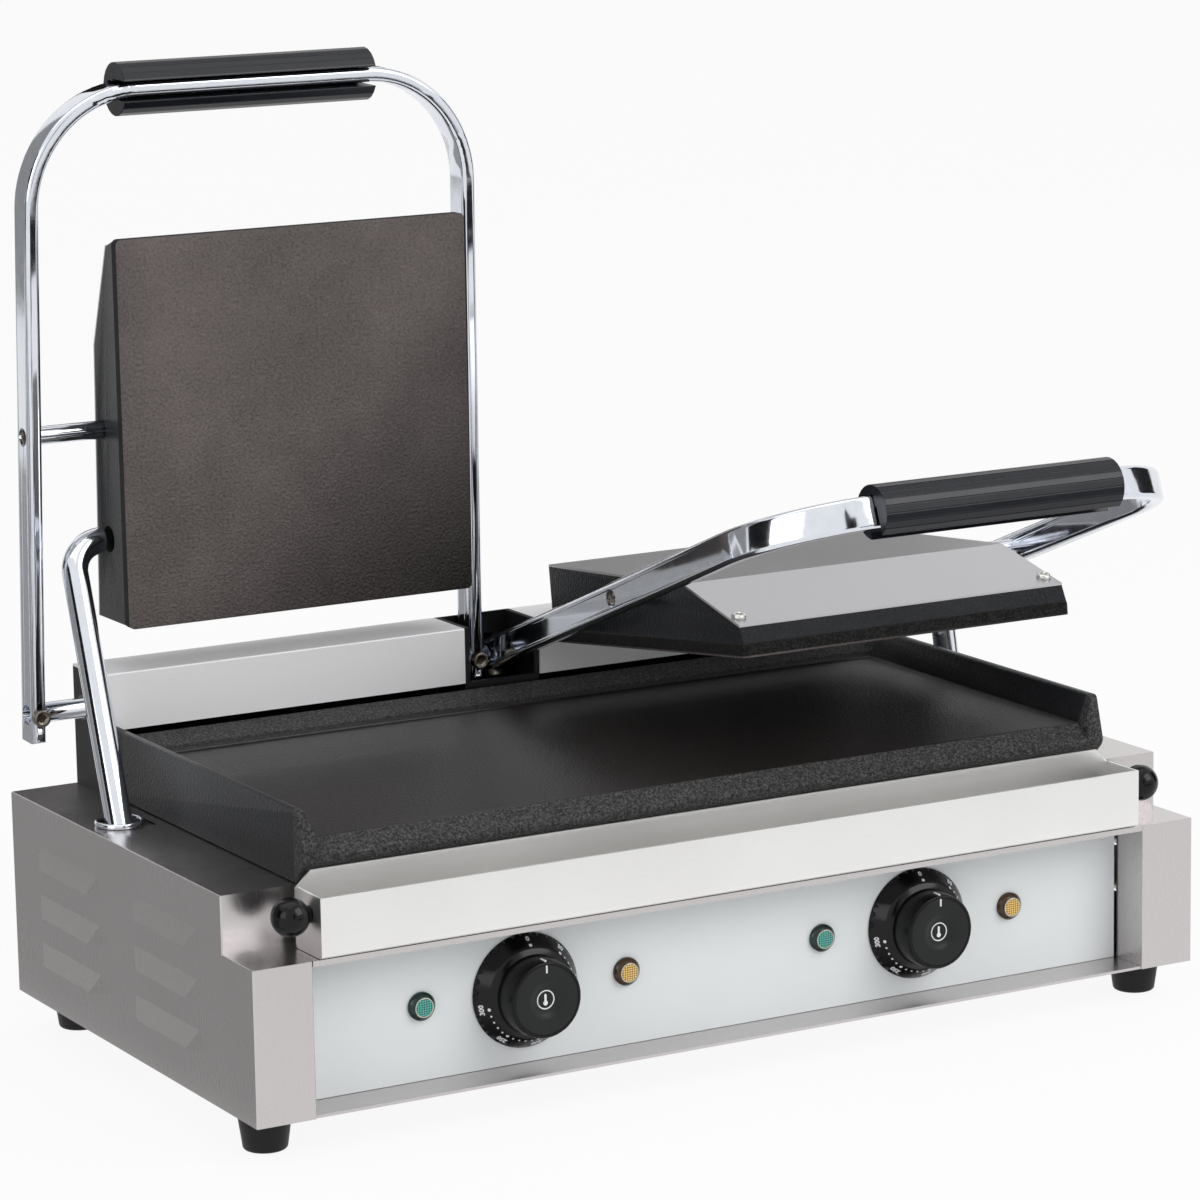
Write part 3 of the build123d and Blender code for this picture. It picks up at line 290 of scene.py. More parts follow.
class Recipe:
    """A material's node tree, put together step by step."""

    def __init__(self, name: str) -> None:
        """Starts an empty recipe.

        Args:
            name: The material's name.
        """
        self.material = bpy.data.materials.new(name)
        self.material.use_nodes = True
        self.tree = self.material.node_tree
        self.shader = self.tree.nodes["Principled BSDF"]

    def node(self, kind: str, **values: object) -> bpy.types.Node:
        """Adds a node and sets its own properties.

        Args:
            kind: The node's type name.
            **values: Property names and values.

        Returns:
            The new node.
        """
        made = self.tree.nodes.new(kind)
        for key, value in values.items():
            setattr(made, key, value)
        return made

    def wire(self, source: Socket, target: Socket) -> None:
        """Links an output to an input."""
        self.tree.links.new(source, target)

    def place(self, stretch: Sequence[float] = (1.0, 1.0, 1.0)) -> Socket:
        """Reads the place on the object, stretched along its axes.

        Args:
            stretch: Factor along each axis. A small factor draws a pattern out.

        Returns:
            The output that holds the stretched place.
        """
        coordinates = self.node("ShaderNodeTexCoord")
        mapping = self.node("ShaderNodeMapping")
        mapping.inputs["Scale"].default_value = tuple(stretch)
        self.wire(coordinates.outputs["Object"], mapping.inputs["Vector"])
        return mapping.outputs["Vector"]

    def noise(self, place: Socket, scale: float, detail: float, rough: float = 0.55) -> Socket:
        """Adds a cloudy pattern.

        Args:
            place: The place that the pattern is read at.
            scale: Patches per metre, roughly.
            detail: How many finer layers it has.
            rough: How strong the finer layers are.

        Returns:
            The pattern's value.
        """
        made = self.node("ShaderNodeTexNoise")
        made.inputs["Scale"].default_value = scale
        made.inputs["Detail"].default_value = detail
        made.inputs["Roughness"].default_value = rough
        self.wire(place, made.inputs["Vector"])
        return made.outputs["Fac"]

    def bands(self, place: Socket, scale: float, direction: str) -> Socket:
        """Adds even bands across a direction.

        Args:
            place: The place that the bands are read at.
            scale: How close the bands lie.
            direction: The axis that they follow each other along.

        Returns:
            The bands' value.
        """
        made = self.node("ShaderNodeTexWave", bands_direction=direction)
        made.inputs["Scale"].default_value = scale
        self.wire(place, made.inputs["Vector"])
        return made.outputs["Fac"]

    def spread(self, value: Socket, low: float, high: float, start: float = 0.3,
               end: float = 0.7) -> Socket:
        """Maps a value to another range.

        Args:
            value: The value to map.
            low: The result at the start.
            high: The result at the end.
            start: The value that becomes low.
            end: The value that becomes high.

        Returns:
            The mapped value.
        """
        made = self.node("ShaderNodeMapRange")
        made.inputs["From Min"].default_value = start
        made.inputs["From Max"].default_value = end
        made.inputs["To Min"].default_value = low
        made.inputs["To Max"].default_value = high
        self.wire(value, made.inputs["Value"])
        return made.outputs["Result"]

    def tint(self, value: Socket, stops: Iterable[tuple[float, Colour]]) -> Socket:
        """Maps a value to colours.

        Args:
            value: The output that picks the colour.
            stops: Two places from 0 to 1, each with its colour.

        Returns:
            The colour output.
        """
        made = self.node("ShaderNodeValToRGB")
        for stop, (at, colour) in zip(made.color_ramp.elements, stops):
            stop.position = at
            stop.color = (*colour, 1.0)
        self.wire(value, made.inputs["Fac"])
        return made.outputs["Color"]

    def blend(self, kind: Mix, factor: Socket, first: Socket, second: Socket) -> Socket:
        """Mixes two values or two colours.

        Args:
            kind: What is mixed.
            factor: How far the mix goes from the first to the second.
            first: The value or colour at 0.
            second: The value or colour at 1.

        Returns:
            The mixed value or colour.
        """
        made = self.node("ShaderNodeMix", data_type=kind.name)
        first_input, second_input, output = kind.value
        self.wire(factor, made.inputs[0])
        self.wire(first, made.inputs[first_input])
        self.wire(second, made.inputs[second_input])
        return made.outputs[output]

    def relief(self, height: Socket, depth: float, strength: float) -> Socket:
        """Turns a value into fine relief.

        Args:
            height: The output that gives the height.
            depth: Height of the relief in metres.
            strength: How much of it shows.

        Returns:
            The normal output.
        """
        made = self.node("ShaderNodeBump")
        made.inputs["Distance"].default_value = depth
        made.inputs["Strength"].default_value = strength
        self.wire(height, made.inputs["Height"])
        return made.outputs["Normal"]

    def beyond(self, point: Vector, way: Vector, blur: float) -> Socket:
        """Gives 1 past a plane and 0 before it.

        Args:
            point: A point of the plane.
            way: The plane's normal.
            blur: Width of the change, in metres.

        Returns:
            The value from 0 to 1.
        """
        shifted = self.node("ShaderNodeVectorMath", operation="SUBTRACT")
        self.wire(self.place(), shifted.inputs[0])
        shifted.inputs[1].default_value = point
        measured = self.node("ShaderNodeVectorMath", operation="DOT_PRODUCT")
        self.wire(shifted.outputs[0], measured.inputs[0])
        measured.inputs[1].default_value = way
        return self.spread(measured.outputs["Value"], 0.0, 1.0, 0.0, blur)

    def set(self, **sockets: object) -> None:
        """Sets or wires the shader's inputs.

        Args:
            **sockets: Input names, with _ for a space, and a value, colour or output for each.
        """
        for key, value in sockets.items():
            socket = self.shader.inputs[key.replace("_", " ")]
            if isinstance(value, Socket):
                self.wire(value, socket)
            elif isinstance(value, tuple):
                socket.default_value = (*value, 1.0)
            else:
                socket.default_value = value

    def surface(self, shown: Socket) -> None:
        """Shows another shader in place of the usual one."""
        self.wire(shown, self.tree.nodes["Material Output"].inputs["Surface"])


@dataclass(frozen=True)
class SheetSteel:
    """Brushed stainless sheet with fine lines along its grain."""

    name: str
    light: Colour
    dark: Colour
    grain: Grain = Grain.UPRIGHT
    roughness: float = 0.34
    metal: float = 1.0
    line_scale: float = 5200.0
    line_depth: float = 0.000003
    smear_scale: float = 7.0

    def make(self) -> bpy.types.Material:
        """Builds the sheet's material.

        Returns:
            The material.
        """
        recipe = Recipe(self.name)
        lines = recipe.noise(recipe.place(self.grain.value), self.line_scale, 2.0, 0.6)
        smears = recipe.noise(recipe.place(), self.smear_scale, 3.0)
        mixed = recipe.blend(Mix.FLOAT, recipe.spread(smears, 0.45, 0.65), lines, smears)
        recipe.set(
            Base_Color=recipe.tint(mixed, ((0.3, self.dark), (0.7, self.light))),
            Metallic=self.metal,
            Roughness=recipe.spread(mixed, self.roughness - 0.04, self.roughness + 0.05),
            Normal=recipe.relief(lines, self.line_depth, 0.1),
        )
        return recipe.material


@dataclass(frozen=True)
class ChromePlate:
    """Bright chrome with the faint waviness and smudges of polished bar."""

    name: str = "chrome"
    colour: Colour = (0.74, 0.77, 0.83)
    smudge_scale: float = 160.0
    smudge_shade: float = 0.94
    wave_scale: float = 30.0
    wave_depth: float = 0.0004

    def make(self) -> bpy.types.Material:
        """Builds the chrome material.

        Returns:
            The material.
        """
        recipe = Recipe(self.name)
        wave = recipe.noise(recipe.place(), self.wave_scale, 2.0)
        smudge = recipe.noise(recipe.place(), self.smudge_scale, 5.0, 0.6)
        low = tuple(value * self.smudge_shade for value in self.colour)
        recipe.set(
            Base_Color=recipe.tint(smudge, ((0.35, low), (0.65, self.colour))),
            Metallic=1.0,
            Roughness=recipe.spread(smudge, 0.06, 0.12),
            Normal=recipe.relief(wave, self.wave_depth, 0.15),
        )
        return recipe.material


@dataclass(frozen=True)
class IronZone:
    """The part of a casting past a plane, the coat that it has there, and how softly it starts."""

    point: Vector
    way: Vector
    coat: Coat
    blur: float = 0.0006


@dataclass(frozen=True)
class SeasonedIron:
    """Iron casting with a pebbled cooking face, painted shade across part of it, gritty rims and
    smooth enamel.
    """

    name: str
    zones: tuple[IronZone, ...]
    face_light: Colour = (0.170, 0.145, 0.141)
    face_dark: Colour = (0.060, 0.050, 0.048)
    face_rough: tuple[float, float] = (0.30, 0.42)
    pebble_depth: float = 1.0
    enamel: tuple[Colour, Colour] = ((0.008, 0.009, 0.011), (0.026, 0.027, 0.030))
    grit: tuple[Colour, Colour] = ((0.002, 0.002, 0.002), (0.06, 0.058, 0.056))
    # Dark and light colours of the painted shade on the face.
    burnt: tuple[Colour, Colour] = ((0.004, 0.004, 0.004), (0.014, 0.014, 0.012))
    shine: float = 0.16
    pebble_scale: float = 620.0
    grit_scale: float = 700.0
    burn_scale: float = 11.0
    relief_depth: float = 0.0007

    def make(self) -> bpy.types.Material:
        """Builds the casting's material.

        Returns:
            The material.
        """
        recipe = Recipe(self.name)
        place = recipe.place()
        pebble = recipe.noise(place, self.pebble_scale, 3.0)
        burn = recipe.noise(place, self.burn_scale, 4.0, 0.6)
        grit = recipe.noise(place, self.grit_scale, 6.0, 0.75)
        mottle = recipe.blend(Mix.FLOAT, recipe.spread(grit, 0.25, 0.75), burn, pebble)
        colour = recipe.tint(mottle, ((0.32, self.face_dark), (0.68, self.face_light)))
        gloss = recipe.spread(pebble, *self.face_rough)
        height = recipe.spread(pebble, 0.0, self.pebble_depth)
        coats = {
            Coat.ROUGH: (
                recipe.tint(grit, ((0.44, self.grit[0]), (0.72, self.grit[1]))),
                recipe.spread(grit, 0.42, 0.75),
                recipe.spread(grit, 0.0, 1.8),
            ),
            Coat.SMOOTH: (
                recipe.tint(mottle, ((0.3, self.enamel[0]), (0.7, self.enamel[1]))),
                recipe.spread(burn, 0.28, 0.42),
                recipe.spread(pebble, 0.0, 0.35),
            ),
            # Painted shade: the face's colours made darker, with the same pebbles.
            Coat.BURNT: (
                recipe.tint(mottle, ((0.3, self.burnt[0]), (0.7, self.burnt[1]))),
                recipe.spread(pebble, 0.24, 0.36),
                recipe.spread(pebble, 0.0, self.pebble_depth),
            ),
        }
        for zone in self.zones:
            mask = recipe.beyond(zone.point, zone.way, zone.blur)
            coat_colour, coat_gloss, coat_height = coats[zone.coat]
            colour = recipe.blend(Mix.RGBA, mask, colour, coat_colour)
            gloss = recipe.blend(Mix.FLOAT, mask, gloss, coat_gloss)
            height = recipe.blend(Mix.FLOAT, mask, height, coat_height)
        recipe.set(
            Base_Color=colour,
            Roughness=gloss,
            Specular_IOR_Level=self.shine,
            Normal=recipe.relief(height, self.relief_depth, 0.9),
        )
        return recipe.material


@dataclass(frozen=True)
class Moulding:
    """Moulded or painted surface with a fine even skin."""

    name: str
    colour: Colour
    roughness: float = 0.35
    skin_depth: float = 0.00008
    variation: float = 0.12
    shine: float = 0.5
    skin_scale: float = 1400.0
    cloud_scale: float = 26.0

    def make(self) -> bpy.types.Material:
        """Builds the moulded material.

        Returns:
            The material.
        """
        recipe = Recipe(self.name)
        skin = recipe.noise(recipe.place(), self.skin_scale, 4.0, 0.6)
        cloud = recipe.noise(recipe.place(), self.cloud_scale, 3.0)
        low = tuple(value * (1.0 - self.variation) for value in self.colour)
        high = tuple(min(1.0, value * (1.0 + self.variation)) for value in self.colour)
        recipe.set(
            Base_Color=recipe.tint(cloud, ((0.3, low), (0.7, high))),
            Roughness=recipe.spread(cloud, self.roughness - 0.04, self.roughness + 0.05),
            Specular_IOR_Level=self.shine,
            Normal=recipe.relief(skin, self.skin_depth, 0.3),
        )
        return recipe.material


@dataclass(frozen=True)
class SignalLens:
    """Coloured plastic with a cross-hatch of small facets, painted bright where light catches them,
    and a faint painted glow.
    """

    name: str
    deep: Colour
    # Painted glints: the colour of the facets where light catches them.
    bright: Colour
    # Painted glow: a faint emission of the lens colour.
    glow: float = 0.1
    upright_scale: float = 230.0
    level_scale: float = 260.0
    patch_scale: float = 500.0
    facet_depth: float = 0.0004

    def make(self) -> bpy.types.Material:
        """Builds the lens material.

        Returns:
            The material.
        """
        recipe = Recipe(self.name)
        upright = recipe.bands(recipe.place((1.0, 1.0, 0.6)), self.upright_scale, "X")
        level = recipe.bands(recipe.place(), self.level_scale, "Z")
        patches = recipe.noise(recipe.place(), self.patch_scale, 2.0)
        hatch = recipe.blend(Mix.FLOAT, patches, upright, level)
        # The ribbing is real. Its bright colour is painted glints, and the emission is a painted glow.
        colour = recipe.tint(hatch, ((0.25, self.deep), (0.75, self.bright)))
        recipe.set(
            Base_Color=colour,
            Emission_Color=colour,
            Emission_Strength=self.glow,
            Roughness=recipe.spread(hatch, 0.1, 0.2),
            Coat_Weight=0.5,
            Normal=recipe.relief(hatch, self.facet_depth, 0.4),
        )
        return recipe.material


class Finishes:
    """Every finish of the grill, made once."""

    def __init__(self) -> None:
        """Makes the materials."""
        self.housing = SheetSteel(
            "brushed_housing", (0.61, 0.582, 0.582), (0.57, 0.543, 0.543), roughness=0.25).make()
        self.tray = SheetSteel(
            "tray_sheet", (0.90, 0.90, 0.89), (0.82, 0.81, 0.80), Grain.ACROSS, 0.36).make()
        self.bright = SheetSteel(
            "bright_sheet", (0.93, 0.93, 0.94), (0.90, 0.90, 0.91), Grain.ACROSS, 0.45, 0.15).make()
        self.lid_sheet = SheetSteel(
            "lid_sheet", (0.56, 0.555, 0.57), (0.49, 0.485, 0.50), Grain.ACROSS).make()
        self.inner = SheetSteel(
            "inner_sheet", (0.5, 0.5, 0.5), (0.4, 0.4, 0.4), Grain.ACROSS, 0.4).make()
        self.zinc = SheetSteel(
            "zinc_screws", (0.75, 0.74, 0.7), (0.6, 0.59, 0.56), roughness=0.3).make()
        self.bushes = SheetSteel(
            "bush_steel", (0.22, 0.21, 0.2), (0.16, 0.15, 0.14), Grain.DEEP, 0.4).make()
        self.screws = SheetSteel(
            "dark_screws", (0.26, 0.23, 0.19), (0.17, 0.15, 0.12), Grain.DEEP, 0.3).make()
        self.chrome = ChromePlate().make()
        self.black_sheet = Moulding("black_sheet", (0.006, 0.006, 0.007), 0.36, shine=0.3).make()
        self.knob = Moulding("knob_moulding", (0.005, 0.005, 0.005), 0.2, shine=0.2).make()
        self.bezel = Moulding("bezel_moulding", (0.003, 0.003, 0.004), 0.14, shine=0.25).make()
        self.knob_face = Moulding("knob_face", (0.011, 0.012, 0.012), 0.32, shine=0.25).make()
        self.marks = Moulding("white_marks", (0.80, 0.81, 0.82), 0.5, variation=0.02).make()
        self.grip = Moulding("grip_moulding", (0.007, 0.008, 0.012), 0.26, shine=0.35).make()
        self.rubber = Moulding("foot_rubber", (0.007, 0.007, 0.007), 0.5, shine=0.25).make()
        self.panel = Moulding("pale_panel", (0.79, 0.825, 0.835), 0.6, 0.00002, 0.01).make()
        self.heatproof = Moulding("heatproof_moulding", (0.7, 0.67, 0.58), 0.5).make()
        self.green = SignalLens("green_lens", (0.0, 0.055, 0.045), (0.05, 0.44, 0.35)).make()
        self.amber = SignalLens("amber_lens", (0.20, 0.09, 0.0), (0.85, 0.58, 0.16)).make()
        self.green_shade = Moulding("green_shade", (0.002, 0.020, 0.017), 0.12).make()
        self.amber_shade = Moulding("amber_shade", (0.050, 0.022, 0.006), 0.12).make()
        # Painted highlight: a pale ring where light catches the lens edge.
        self.lens_edge_highlight = Moulding("lens_ring", (0.62, 0.60, 0.50), 0.4).make()


def disc(name: str, radius: float, thickness: float, place: Matrix,
         sides: int = 16) -> bpy.types.Object:
    """Makes a thin round mark, in millimetres, rising along its own z."""
    profile = ((radius, 0.0), (radius, thickness), (radius * 0.9, thickness * 1.2))
    return turned(name, profile, place, sides)


def ring(name: str, radius: float, section: float, place: Matrix,
         steps: tuple[int, int] = (48, 8)) -> bpy.types.Object:
    """Makes a round ring that lies flat at its place.

    Args:
        name: The piece's name.
        radius: Radius of the ring's middle line, in millimetres.
        section: Radius of its section, in millimetres.
        place: Where the ring's middle goes, with its axis as z.
        steps: Sides round the ring and round its section.

    Returns:
        The piece.
    """
    bpy.ops.object.select_all(action="DESELECT")
    bpy.ops.mesh.primitive_torus_add(
        major_radius=radius * MM, minor_radius=section * MM,
        major_segments=steps[0], minor_segments=steps[1])
    piece = bpy.context.active_object
    piece.name = name
    return settle(piece, place)


def bar(name: str, size: Point, place: Matrix, bevel: float = 0.0) -> bpy.types.Object:
    """Makes a block in millimetres round a place, with its edges softened.

    Args:
        name: The piece's name.
        size: Its length along each axis.
        place: Where its middle goes.
        bevel: Width of the softened edges.

    Returns:
        The piece.
    """
    bpy.ops.object.select_all(action="DESELECT")
    bpy.ops.mesh.primitive_cube_add(size=1.0, location=(0, 0, 0))
    piece = bpy.context.active_object
    piece.name = name
    bpy.ops.object.mode_set(mode="EDIT")
    bpy.ops.transform.resize(value=tuple(length * MM for length in size))
    if bevel:
        bpy.ops.mesh.bevel(offset=bevel * MM, segments=2)
    bpy.ops.object.mode_set(mode="OBJECT")
    return settle(piece, place)


@dataclass
class Housing:
    """The sheet-metal housing, its feet and the pieces inside it."""

    shop: Workshop
    skin: Finishes

    def build(self) -> None:
        """Dresses the housing's nodes and softens the round ones."""
        skin = self.skin
        sheets = ("left_side_cover", "right_side_cover", "front_ledge", "rear_panel", "base_pan")
        for names, material in (
            (sheets, skin.housing),
            (("left_rear_cover", "right_rear_cover"), skin.bright),
            (("element_clamps", "heat_shield"), skin.inner),
            (("left_lower_element", "right_lower_element"), skin.inner),
            (("left_counter_spring", "right_counter_spring"), skin.inner),
            (("rear_box", "hinge_bracket"), skin.black_sheet),
            (("control_panel",), skin.panel),
            (("terminal_block", "left_thermostat", "right_thermostat"), skin.heatproof),
            (("shaft_bushes",), skin.bushes),
            (("foot_screws", "housing_screws", "left_knob_shaft", "right_knob_shaft"), skin.zinc),
            (("lamp_housings",), skin.bezel),
        ):
            self.shop.dress(names, material)
        self.shop.softened("feet", skin.rubber)
        self.shop.softened("cable_gland", skin.bezel, 0.4)


@dataclass
class DripTray:
    """The tray below the lower plate, with its two ball knobs."""

    shop: Workshop
    skin: Finishes

    def build(self) -> None:
        """Dresses the tray and smooths its knobs."""
        self.shop.dress(("drip_tray",), self.skin.tray)
        self.shop.softened("tray_knobs", self.skin.bezel, angle=50.0)


@dataclass
class LowerPlate:
    """The wide lower casting, with gritty apron, rear strip and wall ends."""

    shop: Workshop
    skin: Finishes
    apron_back: float = 35.2
    rear_strip: float = 244.4
    wall_foot: float = 233.7
    edge: float = 1.1

    def build(self) -> None:
        """Softens the casting's edges and gives each zone its skin."""
        point = self.shop.point
        zones = (
            IronZone(point(self.wall_foot, 0, 0), Vector((1, 0, 0)), Coat.SMOOTH),
            IronZone(point(-self.wall_foot, 0, 0), Vector((-1, 0, 0)), Coat.SMOOTH),
            IronZone(point(0, self.rear_strip, 0), Vector((0, 1, 0)), Coat.ROUGH),
            IronZone(point(0, self.apron_back, 0), Vector((0, -1, 0)), Coat.ROUGH),
        )
        iron = SeasonedIron(
            "lower_iron",
            zones,
            face_light=(0.018, 0.015, 0.014),
            face_dark=(0.007, 0.006, 0.005),
            face_rough=(0.28, 0.38),
            pebble_depth=0.25,
            grit=((0.004, 0.004, 0.004), (0.22, 0.21, 0.21)),
            shine=0.45,
        )
        self.shop.softened("lower_casting", iron.make(), self.edge)


@dataclass
class Dial:
    """One temperature dial: cone with its scale, and the knob on it."""

    shop: Workshop
    skin: Finishes
    side: Side
    centre_x: float = 120.0
    centre_z: float = 60.4
    panel_y: float = 24.7
    face_radius: float = 23.5
    rim_radius: float = 30.3
    cone_height: float = 9.5
    cone_foot: float = 1.5
    dot_radius: float = 25.2
    number_radius: float = 27.9
    number_height: float = 2.7
    number_raise: float = 0.12
    number_step: float = 43.0
    numbers: tuple[str, ...] = ("0", "50", "100", "150", "200", "250", "300")
    number_dot: float = 0.9
    step_dot: float = 0.6
    dot_raise: float = 0.1
    steps: int = 5
    knob_length: float = 14.5
    knob_gap: float = 0.3
    knob_sides: int = 96

    def on_cone(self, angle: float, radius: float) -> Matrix:
        """Finds the place on the cone at an angle, with its top outward and its face off the cone.

        Args:
            angle: Degrees clockwise from the top, seen from the front.
            radius: Distance from the dial's middle, in millimetres.

        Returns:
            The place in the shared frame.
        """
        turn = math.radians(angle)
        outward = Vector((math.sin(turn), 0.0, math.cos(turn)))
        run = self.rim_radius - self.face_radius
        fall = self.cone_height - self.cone_foot
        slope = (run * outward + fall * Vector((0, 1, 0))).normalized()
        across = Vector((math.cos(turn), 0.0, -math.sin(turn)))
        normal = across.cross(slope)
        depth = self.cone_height - fall * (radius - self.face_radius) / run
        middle = self.shop.point(
            self.side.value * self.centre_x + radius * outward.x,
            self.panel_y - depth,
            self.centre_z + radius * outward.z,
        )
        return Matrix.Translation(middle) @ Matrix((across, slope, normal)).transposed().to_4x4()

    def number(self, word: str, angle: float) -> bpy.types.Object:
        """Makes one number of the scale as a thin raised mesh.

        Args:
            word: The number.
            angle: Its place on the scale, in degrees clockwise.

        Returns:
            The number's mesh.
        """
        bpy.ops.object.select_all(action="DESELECT")
        bpy.ops.object.text_add(location=(0, 0, 0))
        text = bpy.context.active_object
        text.data.body = word
        text.data.size = self.number_height * MM / CAPITAL_SHARE
        text.data.align_x = "CENTER"
        text.data.align_y = "CENTER"
        text.data.extrude = self.number_raise * MM
        text.data.offset = self.number_raise * MM
        text.data.resolution_u = 3
        bpy.ops.object.convert(target="MESH")
        return settle(bpy.context.active_object, self.on_cone(angle, self.number_radius))

    def scale(self) -> None:
        """Marks the cone with its numbers, and dots between them."""
        marks = []
        for index, word in enumerate(self.numbers):
            angle = index * self.number_step
            marks.append(self.number(word, angle))
            place = self.on_cone(angle, self.dot_radius)
            marks.append(disc("dot", self.number_dot, self.dot_raise, place))
        for index in range(1, len(self.numbers) - 1):
            for step in range(1, self.steps):
                angle = (index + step / self.steps) * self.number_step
                place = self.on_cone(angle, self.dot_radius)
                marks.append(disc("dot", self.step_dot, self.dot_raise, place, 10))
        piece = joined(self.side.word + "_dial_scale", marks)
        self.shop.hand_in(piece, self.side.word + "_dial_bezel", self.skin.marks, stands_in=False)

    def on_knob(self, across: float, up: float, forward: float) -> Matrix:
        """Finds a place on the knob, with its z towards the front.

        Args:
            across: Distance to the right of the knob's axis.
            up: Distance above the axis.
            forward: Distance in front of the knob's foot.

        Returns:
            The place in the shared frame.
        """
        middle = self.shop.point(
            self.side.value * self.centre_x + across,
            self.panel_y - self.cone_height - self.knob_gap - forward,
            self.centre_z + up,
        )
        return Matrix.Translation(middle) @ FACE_FRONT

    def knob(self) -> None:
        """Turns the knob: a glossy skirt, and a satin face with a dish."""
        word = self.side.word
        top = self.knob_length
        foot = self.on_knob(0, 0, 0)
        skirt = (
            (4.0, 0.0), (20.8, 0.0), (21.0, 0.4), (20.9, 2.2), (20.2, top - 1.3),
            (19.8, top - 0.5), (18.9, top - 0.1), (18.3, top - 0.1), (18.0, top - 1.6),
            (3.0, top - 5.0))
        body = turned(word + "_knob_skirt", skirt, foot, self.knob_sides)
        face = (
            (17.9, top - 2.0), (18.35, top - 0.4), (17.9, top), (10.6, top), (9.6, top - 0.15),
            (8.0, top - 0.9), (6.0, top - 1.6), (3.0, top - 2.05), (0.5, top - 2.1))
        front = turned(word + "_knob_front", face, foot, self.knob_sides)
        self.shop.hand_in(body, word + "_knob", self.skin.knob)
        self.shop.hand_in(front, word + "_knob", self.skin.knob_face)

    def knob_marks(self) -> None:
        """Adds the pointer, and the ring with a thermometer in the dish."""
        top = self.knob_length
        marks = [
            bar("pointer", (0.9, 4.0, 0.3), self.on_knob(0, 16.4, top)),
            bar("pointer", (1.1, 0.7, 5.0), self.on_knob(0, 20.45, top - 3.6)),
            bar("stem", (1.3, 3.6, 0.3), self.on_knob(0, 0.6, top - 2.0), 0.1),
            disc("stem_end", 0.65, 0.3, self.on_knob(0, 2.4, top - 2.15)),
            disc("bulb", 1.3, 0.3, self.on_knob(0, -1.8, top - 2.15)),
            ring("symbol_ring", 4.8, 0.4, self.on_knob(0, 0, top - 1.95)),
        ]
        piece = joined(self.side.word + "_knob_marks", marks)
        self.shop.hand_in(piece, self.side.word + "_knob", self.skin.marks, stands_in=False)

    def build(self) -> None:
        """Builds the dial."""
        self.shop.softened(self.side.word + "_dial_bezel", self.skin.bezel, angle=40.0)
        self.scale()
        self.knob()
        self.knob_marks()


@dataclass
class Lamp:
    """One signal lamp: a shaded base that narrows to a hatched lens, ringed by a painted highlight."""

    shop: Workshop
    node: str
    centre_x: float
    shade: bpy.types.Material
    lens: bpy.types.Material
    # Finish of the ring: a painted highlight on the lens edge.
    ring: bpy.types.Material
    centre_z: float = 61.1
    panel_y: float = 24.7
    ring_radius: float = 4.95
    ring_section: float = 0.28
    ring_height: float = 4.25
    sides: int = 48

    def build(self) -> None:
        """Builds the lamp's three visible pieces."""
        middle = self.shop.point(self.centre_x, self.panel_y, self.centre_z)
        place = Matrix.Translation(middle) @ FACE_FRONT
        shade = (
            (7.5, -0.2), (7.5, 1.7), (7.1, 2.3), (5.5, 3.5), (5.2, 4.2), (4.6, 4.2), (4.4, 3.6))
        lens = ((4.7, 3.4), (4.7, 4.3), (4.3, 4.6), (2.0, 4.75))
        raised = place @ Matrix.Translation((0, 0, self.ring_height * MM))
        for piece, material in (
            (turned(self.node + "_shade", shade, place, self.sides), self.shade),
            (turned(self.node + "_front", lens, place, self.sides), self.lens),
            # The ring round the lens is a painted highlight.
            (ring(self.node + "_ring", self.ring_radius, self.ring_section, raised), self.ring),
        ):
            self.shop.hand_in(piece, self.node, material)


